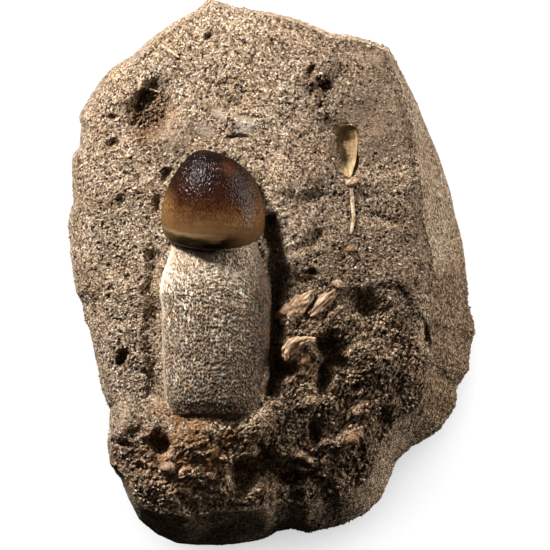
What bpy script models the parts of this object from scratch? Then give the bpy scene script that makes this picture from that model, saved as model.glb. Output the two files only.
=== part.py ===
"""Fossil mosasaur tooth in its block of phosphatic sandstone.

The block lies on a flat cut underside and shows the tooth on its upper face. +X is to the right, +Y points
from the root to the tip of the crown and +Z is up. The origin is the middle of the underside.

The shape functions work in millimetres, and MM turns their results into Blender's metres.
"""

import math

import bmesh
import bpy
import numpy as np
from mathutils import Vector, noise

MM = 0.001
CLEARANCE = 0.4  # between an embedded piece and its pocket in the block

# The widest outline of the block, as (x, y), anticlockwise from the right.
OUTLINE = [
    (47.2, 1.7), (44.5, 14.7), (41.8, 25.2), (37.9, 35.0), (33.9, 43.3), (30.5, 50.6), (28.0, 55.6),
    (19.2, 58.1), (13.8, 58.6), (6.6, 61.9), (-2.1, 64.1), (-9.2, 65.1), (-15.6, 66.4), (-18.5, 64.4),
    (-28.5, 58.8), (-34.4, 53.6), (-40.0, 50.2), (-47.5, 38.9), (-46.9, 36.5), (-47.2, 31.3), (-48.7, 29.0),
    (-48.0, 17.9), (-49.2, 14.5), (-49.0, 2.4), (-48.0, -4.1), (-45.4, -6.9), (-44.7, -12.7), (-43.0, -21.3),
    (-39.0, -32.1), (-39.3, -36.4), (-40.4, -40.6), (-39.8, -46.4), (-37.2, -49.9), (-32.9, -59.7),
    (-28.5, -63.6), (-23.6, -65.8), (-12.1, -66.3), (-2.1, -64.7), (0.9, -62.9), (4.5, -62.2), (8.7, -63.3),
    (22.4, -58.6), (26.1, -55.1), (30.0, -45.8), (33.9, -42.1), (41.0, -37.8), (44.7, -32.1), (45.0, -27.7),
    (47.9, -23.5), (48.3, -17.6), (49.5, -14.1), (47.5, -6.1),
]
# The sides, by direction in degrees: how far the upper face's rim stands in from the widest outline, the
# height of the widest outline, and how far the underside's edge stands in from it.
SIDES = [
    (0, 8.5, 9.0, 3.0), (22, 8.5, 10.0, 3.5), (38, 6.0, 12.0, 4.0), (52, 2.6, 16.0, 5.0),
    (66, 1.4, 20.0, 6.0), (100, 1.2, 21.0, 6.5), (116, 2.0, 18.0, 5.5), (128, 3.4, 16.0, 5.0),
    (142, 2.8, 17.0, 5.0), (150, 1.2, 20.0, 6.0), (195, 1.1, 20.0, 6.5), (228, 1.4, 18.0, 6.0),
    (238, 1.8, 16.0, 5.5), (247, 7.0, 11.0, 4.5), (256, 9.4, 9.0, 4.0), (266, 8.6, 9.0, 4.0),
    (274, 7.4, 9.0, 4.5), (300, 6.5, 10.0, 4.0), (325, 9.0, 9.0, 3.5), (343, 11.5, 8.5, 3.0),
]
RIM_ROUNDING = 2.2  # how far the upper face drops at its rim
RIM_ROUNDING_SHARE = 0.09  # of the way from the middle to the rim

# The upper face is broken along these planes: a point (x, y, z) on each, and its rise along +X and +Y.
FACE_PLANES = [
    (0.0, 25.0, 37.6, -0.04, -0.02),  # middle
    (12.0, 25.0, 37.4, -0.15, -0.02),  # right of the middle
    (-27.0, 18.0, 36.8, 0.20, -0.03),  # left flank
    (0.0, 50.0, 36.6, 0.02, -0.22),  # top flank
    (34.0, 25.0, 35.2, -0.34, 0.02),  # right flank
    (20.0, -2.0, 38.6, -0.28, 0.24),  # lower right flank
    (0.0, -38.0, 37.4, -0.08, 0.18),  # bottom flank
    (0.0, -52.0, 34.0, -0.05, 0.33),  # bottom slope
    (-28.0, -26.0, 34.8, 0.14, 0.05),  # lower left flank
]
PLANE_BLEND = 1.2

# Hollows (negative) and lumps (positive) of the upper face: the middle (x, y), half length, half width, turn
# of the length from +X in degrees, the share of the half width that the wall takes, and the height.
SPOTS = [
    (-29.4, 39.6, 9.6, 6.2, 64, 0.6, -2.4),  # pit at the upper left
    (-32.3, 42.6, 3.2, 1.3, 74, 0.9, -1.4),  # its deeper left side
    (-28.8, 36.0, 5.2, 3.2, 60, 0.9, -1.4),  # its lower end
    (-24.4, 33.0, 9.0, 5.0, 54, 1.0, 1.2),  # smooth rise between the pit and the crown
    (-38.6, 37.9, 1.8, 1.4, 0, 0.9, -1.4),
    (-38.8, 31.3, 2.0, 1.5, 0, 0.9, -1.6),
    (-15.7, 57.8, 1.8, 1.2, 0, 0.9, -1.4),
    (-36.6, 18.2, 4.2, 2.2, 60, 1.0, -0.9),
    (1.6, 23.0, 4.0, 7.5, 8, 1.0, 2.4),  # rise that meets the crown's right side
    (-25.6, 24.0, 2.6, 1.5, 50, 0.9, -2.0),  # holes beside the crown
    (-28.2, 16.6, 1.8, 3.2, 0, 0.9, -1.8),
    (-36.0, -20.4, 2.8, 2.0, 70, 0.6, -3.0),  # pit at the left
    (-9.0, 37.5, 10.0, 4.0, 0, 1.0, 1.3),  # swell above the crown
    (-8.0, 33.4, 4.4, 1.0, -4, 0.9, -1.2),  # crevice in it
    (9.4, 48.6, 2.6, 2.0, 40, 1.0, -1.6),  # dark grainy hollows at the upper right
    (12.2, 45.6, 2.0, 2.4, 0, 0.9, -2.0),
    (11.0, 41.6, 1.8, 1.6, 0, 0.9, -1.4),
    (17.5, 30.0, 8.6, 4.2, 92, 0.5, -2.2),  # hollow of the fish tooth
    (8.0, 17.0, 6.0, 3.0, 35, 1.0, -1.2),
    (9.0, 8.0, 8.0, 2.4, 30, 1.0, -1.4),
    (27.0, 13.5, 9.0, 2.4, -12, 1.0, -1.0),
    (8.6, 0.6, 2.4, 1.4, -20, 0.8, -2.0),
    (22.6, -7.4, 7.0, 4.4, -34, 1.0, -3.0),  # hollow under the upper plane
    (13.4, -17.0, 5.2, 4.4, 0, 0.9, -5.6),  # deep hollow right of the bone fragments
    (12.0, -24.4, 2.8, 7.0, -8, 1.0, -5.4),
    (15.4, -20.6, 3.4, 3.2, 0, 0.9, -3.0),
    (2.6, -22.8, 4.6, 2.8, 20, 0.8, -4.0),  # it opens into the groove
    (24.0, -20.0, 10.0, 8.0, 30, 1.0, 2.2),  # mound right of the deep hollow
    (17.6, -22.4, 2.0, 2.6, 20, 1.0, -2.4),
    (20.4, -27.0, 2.6, 1.8, 40, 1.0, -2.0),
    (9.2, -31.4, 4.0, 2.2, 30, 0.9, 2.6),  # lit ridge
    (9.8, -38.4, 2.4, 3.4, 0, 0.8, -4.0),
    (26.0, -35.4, 3.4, 4.0, 25, 1.0, -2.2),
    (16.6, -40.0, 7.4, 2.8, 16, 0.8, 2.8),  # shelf with the shell chip
    (20.6, -33.0, 3.0, 2.2, 0, 1.0, 1.8),
    (36.6, -14.6, 1.5, 4.6, 6, 0.9, -2.2),  # crevice beyond the crest
    (-27.4, -40.6, 3.2, 4.0, 0, 0.7, -5.0),  # pit below the root
    (-35.8, -35.6, 4.4, 4.6, 10, 0.9, 1.2),
    (-36.2, -40.4, 3.0, 1.3, -16, 0.9, -2.6),
    (-31.6, -46.6, 2.4, 1.6, 0, 0.8, -1.8),
    (-16.0, -38.4, 16.0, 14.5, 3, 1.0, 3.2),  # crumbly bank that covers the root's end
    (-3.0, -35.4, 7.4, 5.0, 30, 0.8, 2.2),
    (-21.0, -48.0, 3.4, 2.4, 30, 0.8, 1.6),
    (-7.4, -48.6, 6.4, 4.8, 80, 0.7, -4.4),  # hollows under the ledges
    (3.8, -49.4, 4.8, 3.0, -16, 0.8, -3.6),
    (7.8, -44.6, 5.0, 1.8, -20, 0.9, 2.6),  # lit ledge between them
    (16.0, -51.0, 6.0, 4.0, -20, 1.0, 1.8),
]
# Steps of the upper face: a line of points with the low ground on its right, the drop, the width of the
# drop, and the distance over which the low ground comes back up.
STEPS = [
    ([(-22.0, -52.4), (-16.6, -49.2), (-12.6, -45.4), (-6.6, -42.6), (-2.0, -41.3)], 2.2, 1.8, 9.0),
    ([(-2.0, -41.3), (6.1, -46.9), (11.4, -47.4), (15.5, -45.0), (20.5, -43.6)], 2.4, 1.6, 7.0),
    ([(16.4, 24.6), (14.0, 30.0), (10.4, 35.6), (11.2, 40.4), (10.4, 44.6), (14.3, 53.3)], 1.8, 2.2, 14.0),
    ([(2.8, 2.2), (7.3, 1.0), (15.0, -2.0), (19.3, -4.0), (24.0, -1.6), (27.0, -0.4), (32.0, -2.6),
      (35.6, -8.6)], 1.0, 2.4, 10.0),
]
# Gutters: a line of points, the half width, the share of it that the wall takes, and the depth.
GUTTERS = [
    ([(-0.8, 13.5), (0.4, 8.0), (1.2, 1.0), (0.6, -8.0), (0.4, -18.0), (-0.4, -28.0)], 3.2, 1.0, 4.8),
    ([(-29.2, 5.0), (-28.8, -12.0), (-28.2, -29.0)], 3.2, 1.0, 1.8),
]
STEP_FADE, GUTTER_FADE = 3.0, 4.0  # how far past their ends they run out
WARPS = [(4.5, 1.1), (1.9, 0.6)]  # size and reach of the waves that bend the spots, steps and gutters

# Uneven ground: the size and height of its waves.
WAVES = [(17.0, 1.5), (8.0, 0.95)]
# The crumbly break: the y below which it lies, by x, the distance over which it sets in, and the size and
# height of its waves.
CRUMBLY_BELOW = [
    (-50.0, -41.0), (-28.0, -36.0), (-2.0, -33.0), (1.0, 0.0), (15.0, -3.0), (24.0, -3.0), (30.0, -4.0),
    (35.0, -12.0), (39.0, -24.0), (50.0, -40.0),
]
CRUMBLE_FADE = 6.0
CRUMBLE_WAVES = (5.0, 0.8)
SIDE_WAVES = [(26.0, 2.4), (9.0, 0.9)]
SMOOTH_SIDES = [  # direction, half spread, share of the waves kept
    (30.0, 44.0, 0.3), (134.0, 26.0, 0.3), (252.0, 26.0, 0.45),
]
SEEDS = {"warp x": 3.1, "warp y": 8.7, "ground": 21.3, "crumble": 42.9, "side": 60.2}

# The tooth. The crown's rings are ovals around a line from (x, z) at its margin to (x, z) at its tip.
CROWN_MARGIN_Y, CROWN_WIDEST_Y, CROWN_TIP_Y = 9.6, 13.0, 29.9
CROWN_HALF_WIDTH, CROWN_HALF_DEPTH = 12.5, 11.6
CROWN_MARGIN_X, CROWN_TIP_X = -14.5, -16.9
CROWN_TIP_BEND = 8  # the higher, the nearer to the tip its middle line turns aside
CROWN_MARGIN_Z, CROWN_TIP_Z = 36.4, 39.8
CROWN_NECK_SHARE = 0.85  # of the widest ring
CROWN_POINTEDNESS = 1.16  # 1 is an oval dome
MARGIN_SLOPE = 0.36  # how far the crown's margin dips towards +Z
CROWN_SIDES, CROWN_LIP_RINGS, CROWN_DOME_RINGS = 26, 3, 8
# The root's rings: y, half width, half depth and x of the middle.
ROOT_RINGS = [
    (9.0, 10.2, 8.8, -14.2), (6.2, 11.0, 9.0, -13.8), (3.1, 11.8, 9.4, -14.0), (-0.7, 12.8, 9.9, -14.2),
    (-4.0, 13.4, 10.1, -14.3), (-8.0, 13.1, 10.1, -13.9),
    (-17.3, 12.95, 10.0, -14.05), (-25.7, 12.4, 9.6, -14.3), (-30.4, 12.0, 9.2, -14.2),
    (-33.2, 11.2, 8.2, -14.1), (-35.2, 9.4, 6.0, -14.1),
]
ROOT_TOP_Z, ROOT_END_Z = 35.8, 31.0
ROOT_SQUARENESS = 0.8  # 1 is an oval section, and less is squarer
ROOT_SIDES = 26

# Small embedded pieces lie along the face: points (x, y, height of the middle over the face), the half widths
# there, and how far the upper and the lower side bulge, as shares of the width. A hollow side bulges by less
# than nothing.
BARS = [
    ("fish_tooth", [(17.3, 36.2, 1.0), (17.4, 32.6, 1.1), (17.6, 27.6, 0.9), (18.2, 23.4, 0.4)],
     [2.7, 3.0, 2.3, 0.5], (-0.34, 0.8)),
    ("fish_bone", [(18.8, 20.8, 0.2), (19.0, 17.2, 0.25), (19.3, 13.6, 0.3), (18.6, 9.8, 0.4)],
     [0.42, 0.46, 0.46, 0.36], (0.8, 0.8)),
    ("bone_fragment_long", [(1.3, -11.8, 1.3), (4.0, -9.0, 1.0), (7.0, -6.2, 0.8), (9.5, -3.9, 0.9)],
     [1.7, 2.1, 1.8, 0.9], (0.7, 0.8)),
    ("bone_fragment_thin", [(8.8, -9.8, 0.8), (11.0, -7.6, 0.6), (13.2, -5.2, 0.4), (15.0, -3.6, 0.3)],
     [0.9, 1.3, 1.4, 0.9], (0.7, 0.8)),
    ("bone_fragment_short", [(2.6, -20.4, 2.0), (3.4, -17.4, 1.6), (6.4, -15.9, 1.2), (10.2, -15.2, 2.2)],
     [1.1, 1.6, 1.5, 0.9], (0.7, 0.8)),
]
BAR_SIDES = 8
BAR_RINGS_BETWEEN = 1
# Pebbles: the middle (x, y, height over the face), the half sizes and the turn in degrees.
PEBBLES = [
    ("pebble_pale", (-25.5, -46.6, 0.8), (2.0, 1.4, 1.3), -15),
    ("pebble_cream", (15.6, -2.2, 0.5), (1.5, 1.1, 0.9), -25),
    ("pebble_tan", (18.4, 6.2, 0.4), (0.9, 0.8, 0.7), 10),
    ("shell_chip", (18.4, -39.8, 0.3), (2.4, 1.3, 0.8), 10),
    ("bone_chip", (18.8, 22.2, 0.1), (1.4, 1.0, 0.8), 20),
]
PEBBLE_ROUGHNESS = 0.22

FACE_CELLS = 45
SIDE_ROWS = 5
WIDEST_ROW_SHARE = 0.6  # of the rows lie above the widest outline


def smooth(t):
    t = np.clip(t, 0.0, 1.0)
    return t * t * (3.0 - 2.0 * t)


def waves(points, size, seed):
    """Smooth noise between about -1 and 1, with features of the given size."""
    shift = Vector((seed, -seed, seed * 0.5))
    return np.array([noise.noise(Vector(p) / size + shift) for p in points])


def around(table, degrees):
    """The columns of a table by direction, interpolated all the way round."""
    rows = np.array([*table, (table[0][0] + 360, *table[0][1:])])
    turned = np.mod(degrees - rows[0, 0], 360) + rows[0, 0]
    return [np.interp(turned, rows[:, 0], rows[:, column]) for column in range(1, rows.shape[1])]


def outline_radius(degrees):
    polar = sorted((math.degrees(math.atan2(y, x)) % 360, math.hypot(x, y)) for x, y in OUTLINE)
    return around(polar, degrees)[0]


def rim_radius(degrees):
    return outline_radius(degrees) - around(SIDES, degrees)[0]


def from_line(x, y, points):
    """The distance to a line of points, positive on its right."""
    best = np.full(x.shape, np.inf)
    signed = np.zeros(x.shape)
    for (x0, y0), (x1, y1) in zip(points, points[1:]):
        dx, dy = x1 - x0, y1 - y0
        length = math.hypot(dx, dy)
        along = np.clip(((x - x0) * dx + (y - y0) * dy) / length**2, 0, 1)
        away = np.hypot(x - x0 - along * dx, y - y0 - along * dy)
        side = np.sign((x - x0) * dy - (y - y0) * dx)
        nearer = away < best
        best = np.where(nearer, away, best)
        signed = np.where(nearer, side * away, signed)
    return signed


def end_fade(x, y, points, fade):
    """1 beside the line of points, falling to 0 past its ends."""
    (x0, y0), (x1, y1) = points[0], points[-1]
    dx, dy = x1 - x0, y1 - y0
    length = math.hypot(dx, dy)
    along = ((x - x0) * dx + (y - y0) * dy) / length
    return smooth((along + fade) / fade) * smooth((length + fade - along) / fade)


def crumbly_at(x, y):
    """1 on the crumbly break of the upper face, 0 off it."""
    return smooth((np.interp(x, *zip(*CRUMBLY_BELOW)) - y) / CRUMBLE_FADE)


def face_height(x, y, to_rim):
    """The height of the upper face. to_rim runs from 0 in the middle to 1 at the rim."""
    planes = [z + rise_x * (x - px) + rise_y * (y - py) for px, py, z, rise_x, rise_y in FACE_PLANES]
    height = -PLANE_BLEND * np.log(sum(np.exp(-plane / PLANE_BLEND) for plane in planes))
    flat = np.column_stack([x, y, np.zeros(x.shape)])
    wx = x + sum(reach * waves(flat, size, SEEDS["warp x"]) for size, reach in WARPS)
    wy = y + sum(reach * waves(flat, size, SEEDS["warp y"]) for size, reach in WARPS)
    for mx, my, half_length, half_width, turn, wall, rise in SPOTS:
        c, s = math.cos(math.radians(turn)), math.sin(math.radians(turn))
        along = ((wx - mx) * c + (wy - my) * s) / half_length
        across = ((wy - my) * c - (wx - mx) * s) / half_width
        height += rise * smooth((1 - np.hypot(along, across)) / wall)
    for points, drop, width, fade in STEPS:
        below = from_line(wx, wy, points)
        recovered = np.exp(-np.maximum(below, 0) / fade)
        height -= drop * smooth(below / width) * recovered * end_fade(x, y, points, STEP_FADE)
    for points, half_width, wall, depth in GUTTERS:
        away = np.abs(from_line(wx, wy, points))
        height -= depth * smooth((1 - away / half_width) / wall) * end_fade(x, y, points, GUTTER_FADE)
    for size, rise in WAVES:
        height += rise * waves(flat, size, SEEDS["ground"])
    height += crumbly_at(x, y) * CRUMBLE_WAVES[1] * waves(flat, CRUMBLE_WAVES[0], SEEDS["crumble"])
    return height - RIM_ROUNDING * smooth((to_rim - 1 + RIM_ROUNDING_SHARE) / RIM_ROUNDING_SHARE)


def on_face(point):
    """The point (x, y, height over the upper face) as (x, y, z)."""
    x, y, over = (np.array([value]) for value in point)
    to_rim = np.hypot(x, y) / rim_radius(np.degrees(np.arctan2(y, x)))
    return x[0], y[0], face_height(x, y, to_rim)[0] + over[0]


def side_points(degrees, rim_height, share):
    """Points of the sides, from the rim (share 0) over the widest outline to the underside (share 1)."""
    run, widest_height, undercut = around(SIDES, degrees)
    widest = outline_radius(degrees)
    above = np.clip(share / WIDEST_ROW_SHARE, 0, 1)
    below = np.clip((share - WIDEST_ROW_SHARE) / (1 - WIDEST_ROW_SHARE), 0, 1)
    radius = widest - run * (1 - above) ** 1.3 - undercut * below**1.6
    height = rim_height + (widest_height - rim_height) * above - widest_height * below
    angle = np.radians(degrees)
    points = np.column_stack([radius * np.cos(angle), radius * np.sin(angle), height])
    calm = np.ones(degrees.shape)
    for direction, spread, kept in SMOOTH_SIDES:
        off = np.abs(np.mod(degrees - direction + 180, 360) - 180)
        calm = np.minimum(calm, kept + (1 - kept) * smooth(off / spread))
    push = sum(rise * waves(points, size, SEEDS["side"]) for size, rise in SIDE_WAVES)
    push *= calm * (np.sin(np.pi * above) + 0.5 * np.sin(np.pi * below))
    points[:, 0] += push * np.cos(angle)
    points[:, 1] += push * np.sin(angle)
    return points


def add_object(name, bm, material):
    bmesh.ops.recalc_face_normals(bm, faces=bm.faces)
    mesh = bpy.data.meshes.new(name)
    bm.to_mesh(mesh)
    bm.free()
    mesh.materials.append(material)
    obj = bpy.data.objects.new(name, mesh)
    bpy.context.scene.collection.objects.link(obj)
    return obj


def add_material(name, colour, roughness):
    material = bpy.data.materials.new(name)
    material.use_nodes = True
    shader = material.node_tree.nodes["Principled BSDF"]
    shader.inputs["Base Color"].default_value = (*colour, 1.0)
    shader.inputs["Roughness"].default_value = roughness
    return material


def boundary_loop(bm):
    """The vertices of the mesh's open edge, in order, anticlockwise from the lowest direction."""
    verts = {v for e in bm.edges if e.is_boundary for v in e.verts}
    return sorted(verts, key=lambda v: math.atan2(v.co.y, v.co.x))


def add_block(material):
    """The sandstone: a grid shaped to the rim, extruded down the sides and closed by the flat underside."""
    bm = bmesh.new()
    bmesh.ops.create_grid(bm, x_segments=FACE_CELLS, y_segments=FACE_CELLS, size=1.0)
    square = np.array([v.co for v in bm.verts])
    across = square[:, 0] * np.sqrt(1 - square[:, 1] ** 2 / 2)
    up = square[:, 1] * np.sqrt(1 - square[:, 0] ** 2 / 2)
    to_rim = np.hypot(across, up)
    degrees = np.degrees(np.arctan2(up, across))
    radius = to_rim * rim_radius(degrees)
    x, y = radius * np.cos(np.radians(degrees)), radius * np.sin(np.radians(degrees))
    z = face_height(x, y, to_rim)
    for vert, place in zip(bm.verts, np.column_stack([x, y, z])):
        vert.co = place * MM
    rim = boundary_loop(bm)
    rim_degrees = np.degrees([math.atan2(v.co.y, v.co.x) for v in rim])
    rim_height = np.array([v.co.z / MM for v in rim])
    edges = [e for e in bm.edges if e.is_boundary]
    for row in range(1, SIDE_ROWS + 1):
        places = side_points(rim_degrees, rim_height, np.full(len(rim), row / SIDE_ROWS))
        extruded = bmesh.ops.extrude_edge_only(bm, edges=edges)["geom"]
        edges = [g for g in extruded if isinstance(g, bmesh.types.BMEdge)]
        ring = {v for e in edges for v in e.verts}
        for vert, place in zip(sorted(ring, key=lambda v: math.atan2(v.co.y, v.co.x)), places):
            vert.co = place * MM
    bmesh.ops.contextual_create(bm, geom=edges)
    return add_object("matrix", bm, material)


def add_loft(name, rings, material):
    """A closed body through rings of the same number of points. A ring of one point is a tip."""
    bm = bmesh.new()
    rows = [[bm.verts.new(np.array(p) * MM) for p in ring] for ring in rings]
    for lower, upper in zip(rows, rows[1:]):
        count = max(len(lower), len(upper))
        for i in range(count):
            j = (i + 1) % count
            below = [lower[i % len(lower)], lower[j % len(lower)]]
            above = [upper[j % len(upper)], upper[i % len(upper)]]
            bm.faces.new(list(dict.fromkeys(below + above)))
    for row in (rows[0], rows[-1]):
        if len(row) > 1:
            bm.faces.new(row)
    return add_object(name, bm, material)


def even_turns(count):
    return [2 * math.pi * i / count for i in range(count)]


def squared(value, squareness):
    return math.copysign(abs(value) ** squareness, value)


def tooth_ring(centre, half_width, half_depth, slope, turns, squareness=1.0):
    """A ring across the tooth, at the given angles. Its plane dips towards +Z by the slope."""
    cx, cy, cz = centre
    ring = []
    for turn in turns:
        right, up = squared(math.cos(turn), squareness), squared(math.sin(turn), squareness)
        ring.append((cx + half_width * right, cy - slope * half_depth * up, cz + half_depth * up))
    return ring


def add_crown(material):
    """The crown: a lip that swells out from the neck, and an oval dome over it that ends in a blunt tip."""
    rings = []
    for i in range(CROWN_LIP_RINGS):
        up = i / CROWN_LIP_RINGS
        share = CROWN_NECK_SHARE + (1 - CROWN_NECK_SHARE) * math.sqrt(1 - (1 - up) ** 2)
        rings.append((CROWN_MARGIN_Y + (CROWN_WIDEST_Y - CROWN_MARGIN_Y) * up, share))
    for i in range(CROWN_DOME_RINGS):
        turn = math.pi / 2 * i / CROWN_DOME_RINGS
        y = CROWN_WIDEST_Y + (CROWN_TIP_Y - CROWN_WIDEST_Y) * math.sin(turn)
        rings.append((y, math.cos(turn) ** CROWN_POINTEDNESS))
    turns = even_turns(CROWN_SIDES)
    points = []
    for y, share in rings:
        up = (y - CROWN_MARGIN_Y) / (CROWN_TIP_Y - CROWN_MARGIN_Y)
        x = CROWN_MARGIN_X + (CROWN_TIP_X - CROWN_MARGIN_X) * up**CROWN_TIP_BEND
        z = CROWN_MARGIN_Z + (CROWN_TIP_Z - CROWN_MARGIN_Z) * up
        half_width, half_depth = share * CROWN_HALF_WIDTH, share * CROWN_HALF_DEPTH
        points.append(tooth_ring((x, y, z), half_width, half_depth, MARGIN_SLOPE * (1 - up), turns))
    tip = (CROWN_TIP_X, CROWN_TIP_Y, CROWN_TIP_Z)
    return add_loft("tooth_crown", [*points, [tip]], material)


def add_root(material):
    """The root: a barrel of spongy bone, necked in under the crown and rounded at its broken end."""
    top, end = ROOT_RINGS[0][0], ROOT_RINGS[-1][0]
    turns = even_turns(ROOT_SIDES)
    points = []
    for y, half_width, half_depth, x in ROOT_RINGS:
        down = (top - y) / (top - end)
        z = ROOT_TOP_Z + (ROOT_END_Z - ROOT_TOP_Z) * down
        slope = MARGIN_SLOPE * max(0.0, 1 - 3 * down)
        points.append(tooth_ring((x, y, z), half_width, half_depth, slope, turns, ROOT_SQUARENESS))
    return add_loft("tooth_root", points, material)


def add_bar(name, path, half_widths, bulges, material):
    """A splinter, spine or small tooth: a bar along a line of points on the face, with uneven sides."""
    path = [on_face(point) for point in path]
    steps = (len(path) - 1) * (BAR_RINGS_BETWEEN + 1)
    shares = np.linspace(0, len(path) - 1, steps + 1)
    places = np.array([np.interp(shares, range(len(path)), column) for column in np.array(path).T]).T
    widths = np.interp(shares, range(len(path)), half_widths)
    run = np.array(path[-1]) - np.array(path[0])
    along = run / np.linalg.norm(run)
    sideways = np.cross(along, (0, 0, 1))
    sideways /= np.linalg.norm(sideways)
    upward = np.cross(sideways, along)
    rings = []
    for place, width in zip(places, widths):
        ring = []
        for i in range(BAR_SIDES):
            turn = 2 * math.pi * (i + 0.5) / BAR_SIDES
            bulge = bulges[0] if math.sin(turn) > 0 else bulges[1]
            out = sideways * math.cos(turn) + upward * bulge * math.sin(turn)
            uneven = 1 + PEBBLE_ROUGHNESS * noise.noise(Vector(place + out * 2)) * min(1.0, width)
            ring.append(place + out * width * uneven)
        rings.append(ring)
    return add_loft(name, rings, material)


def add_pebble(name, middle, half_sizes, turn, material):
    middle = on_face(middle)
    bm = bmesh.new()
    bmesh.ops.create_icosphere(bm, subdivisions=2, radius=1.0)
    c, s = math.cos(math.radians(turn)), math.sin(math.radians(turn))
    for vert in bm.verts:
        shaped = vert.co * (1 + PEBBLE_ROUGHNESS * noise.noise(vert.co * 1.4 + Vector(middle)))
        x, y, z = (a * b for a, b in zip(shaped, half_sizes))
        vert.co = (Vector(middle) + Vector((x * c - y * s, x * s + y * c, z))) * MM
    return add_object(name, bm, material)


def cut_pocket(block, piece):
    """Takes the piece's own shape, grown by the clearance, out of the block."""
    cutter = piece.copy()
    cutter.data = piece.data.copy()
    cutter.name = f"pocket_of_{piece.name}"
    for vert in cutter.data.vertices:
        vert.co += vert.normal * CLEARANCE * MM * 1.2
    cutter.hide_render = True
    cutter.display_type = "WIRE"
    bpy.context.scene.collection.objects.link(cutter)
    cut = block.modifiers.new(cutter.name, "BOOLEAN")
    cut.operation = "DIFFERENCE"
    cut.solver = "EXACT"
    cut.object = cutter


def main():
    for obj in list(bpy.data.objects):
        bpy.data.objects.remove(obj)
    sandstone = add_material("sandstone", (0.36, 0.27, 0.18), 0.9)
    enamel = add_material("enamel", (0.13, 0.06, 0.03), 0.25)
    spongy_bone = add_material("spongy_bone", (0.52, 0.46, 0.36), 0.85)
    fossil_bone = add_material("fossil_bone", (0.42, 0.27, 0.17), 0.7)
    shell = add_material("shell", (0.60, 0.46, 0.30), 0.6)
    dark_tooth = add_material("dark_tooth", (0.22, 0.16, 0.08), 0.35)
    materials = {"fish_tooth": dark_tooth, "fish_bone": shell, "bone_chip": fossil_bone}

    block = add_block(sandstone)
    embedded = [add_crown(enamel), add_root(spongy_bone)]
    for name, path, half_widths, bulges in BARS:
        embedded.append(add_bar(name, path, half_widths, bulges, materials.get(name, fossil_bone)))
    for name, middle, half_sizes, turn in PEBBLES:
        embedded.append(add_pebble(name, middle, half_sizes, turn, materials.get(name, shell)))
    for piece in embedded:
        cut_pocket(block, piece)
    for obj in (block, *embedded):
        obj.data.shade_smooth()


main()
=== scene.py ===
"""The look of the fossil mosasaur tooth: the rock, the tooth and the small embedded pieces in fine detail."""

import math
from functools import reduce

import bmesh
import bpy
import numpy as np
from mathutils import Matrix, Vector, noise


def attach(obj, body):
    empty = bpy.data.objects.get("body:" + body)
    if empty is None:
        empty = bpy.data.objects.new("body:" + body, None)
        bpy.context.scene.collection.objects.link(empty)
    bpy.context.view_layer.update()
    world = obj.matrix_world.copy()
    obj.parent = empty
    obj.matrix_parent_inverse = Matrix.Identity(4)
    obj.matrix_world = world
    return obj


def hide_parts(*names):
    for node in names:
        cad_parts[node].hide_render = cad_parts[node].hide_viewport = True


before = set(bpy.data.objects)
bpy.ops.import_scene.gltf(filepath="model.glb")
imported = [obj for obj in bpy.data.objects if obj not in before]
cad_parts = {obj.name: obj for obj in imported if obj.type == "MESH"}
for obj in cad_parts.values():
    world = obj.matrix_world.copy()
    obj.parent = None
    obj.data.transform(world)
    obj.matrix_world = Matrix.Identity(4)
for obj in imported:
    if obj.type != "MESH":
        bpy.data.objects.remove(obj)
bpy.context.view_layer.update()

MM = 0.001

# ---- The shape: the same values and functions as in the part's source, in millimetres ----

# The widest outline of the block, as (x, y), anticlockwise from the right.
OUTLINE = [
    (47.2, 1.7), (44.5, 14.7), (41.8, 25.2), (37.9, 35.0), (33.9, 43.3), (30.5, 50.6), (28.0, 55.6),
    (19.2, 58.1), (13.8, 58.6), (6.6, 61.9), (-2.1, 64.1), (-9.2, 65.1), (-15.6, 66.4), (-18.5, 64.4),
    (-28.5, 58.8), (-34.4, 53.6), (-40.0, 50.2), (-47.5, 38.9), (-46.9, 36.5), (-47.2, 31.3), (-48.7, 29.0),
    (-48.0, 17.9), (-49.2, 14.5), (-49.0, 2.4), (-48.0, -4.1), (-45.4, -6.9), (-44.7, -12.7), (-43.0, -21.3),
    (-39.0, -32.1), (-39.3, -36.4), (-40.4, -40.6), (-39.8, -46.4), (-37.2, -49.9), (-32.9, -59.7),
    (-28.5, -63.6), (-23.6, -65.8), (-12.1, -66.3), (-2.1, -64.7), (0.9, -62.9), (4.5, -62.2), (8.7, -63.3),
    (22.4, -58.6), (26.1, -55.1), (30.0, -45.8), (33.9, -42.1), (41.0, -37.8), (44.7, -32.1), (45.0, -27.7),
    (47.9, -23.5), (48.3, -17.6), (49.5, -14.1), (47.5, -6.1),
]
# The sides, by direction in degrees: how far the upper face's rim stands in from the widest outline, the
# height of the widest outline, and how far the underside's edge stands in from it.
SIDES = [
    (0, 8.5, 9.0, 3.0), (22, 8.5, 10.0, 3.5), (38, 6.0, 12.0, 4.0), (52, 2.6, 16.0, 5.0),
    (66, 1.4, 20.0, 6.0), (100, 1.2, 21.0, 6.5), (116, 2.0, 18.0, 5.5), (128, 3.4, 16.0, 5.0),
    (142, 2.8, 17.0, 5.0), (150, 1.2, 20.0, 6.0), (195, 1.1, 20.0, 6.5), (228, 1.4, 18.0, 6.0),
    (238, 1.8, 16.0, 5.5), (247, 7.0, 11.0, 4.5), (256, 9.4, 9.0, 4.0), (266, 8.6, 9.0, 4.0),
    (274, 7.4, 9.0, 4.5), (300, 6.5, 10.0, 4.0), (325, 9.0, 9.0, 3.5), (343, 11.5, 8.5, 3.0),
]
RIM_ROUNDING = 2.2  # how far the upper face drops at its rim
RIM_ROUNDING_SHARE = 0.09  # of the way from the middle to the rim

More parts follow.
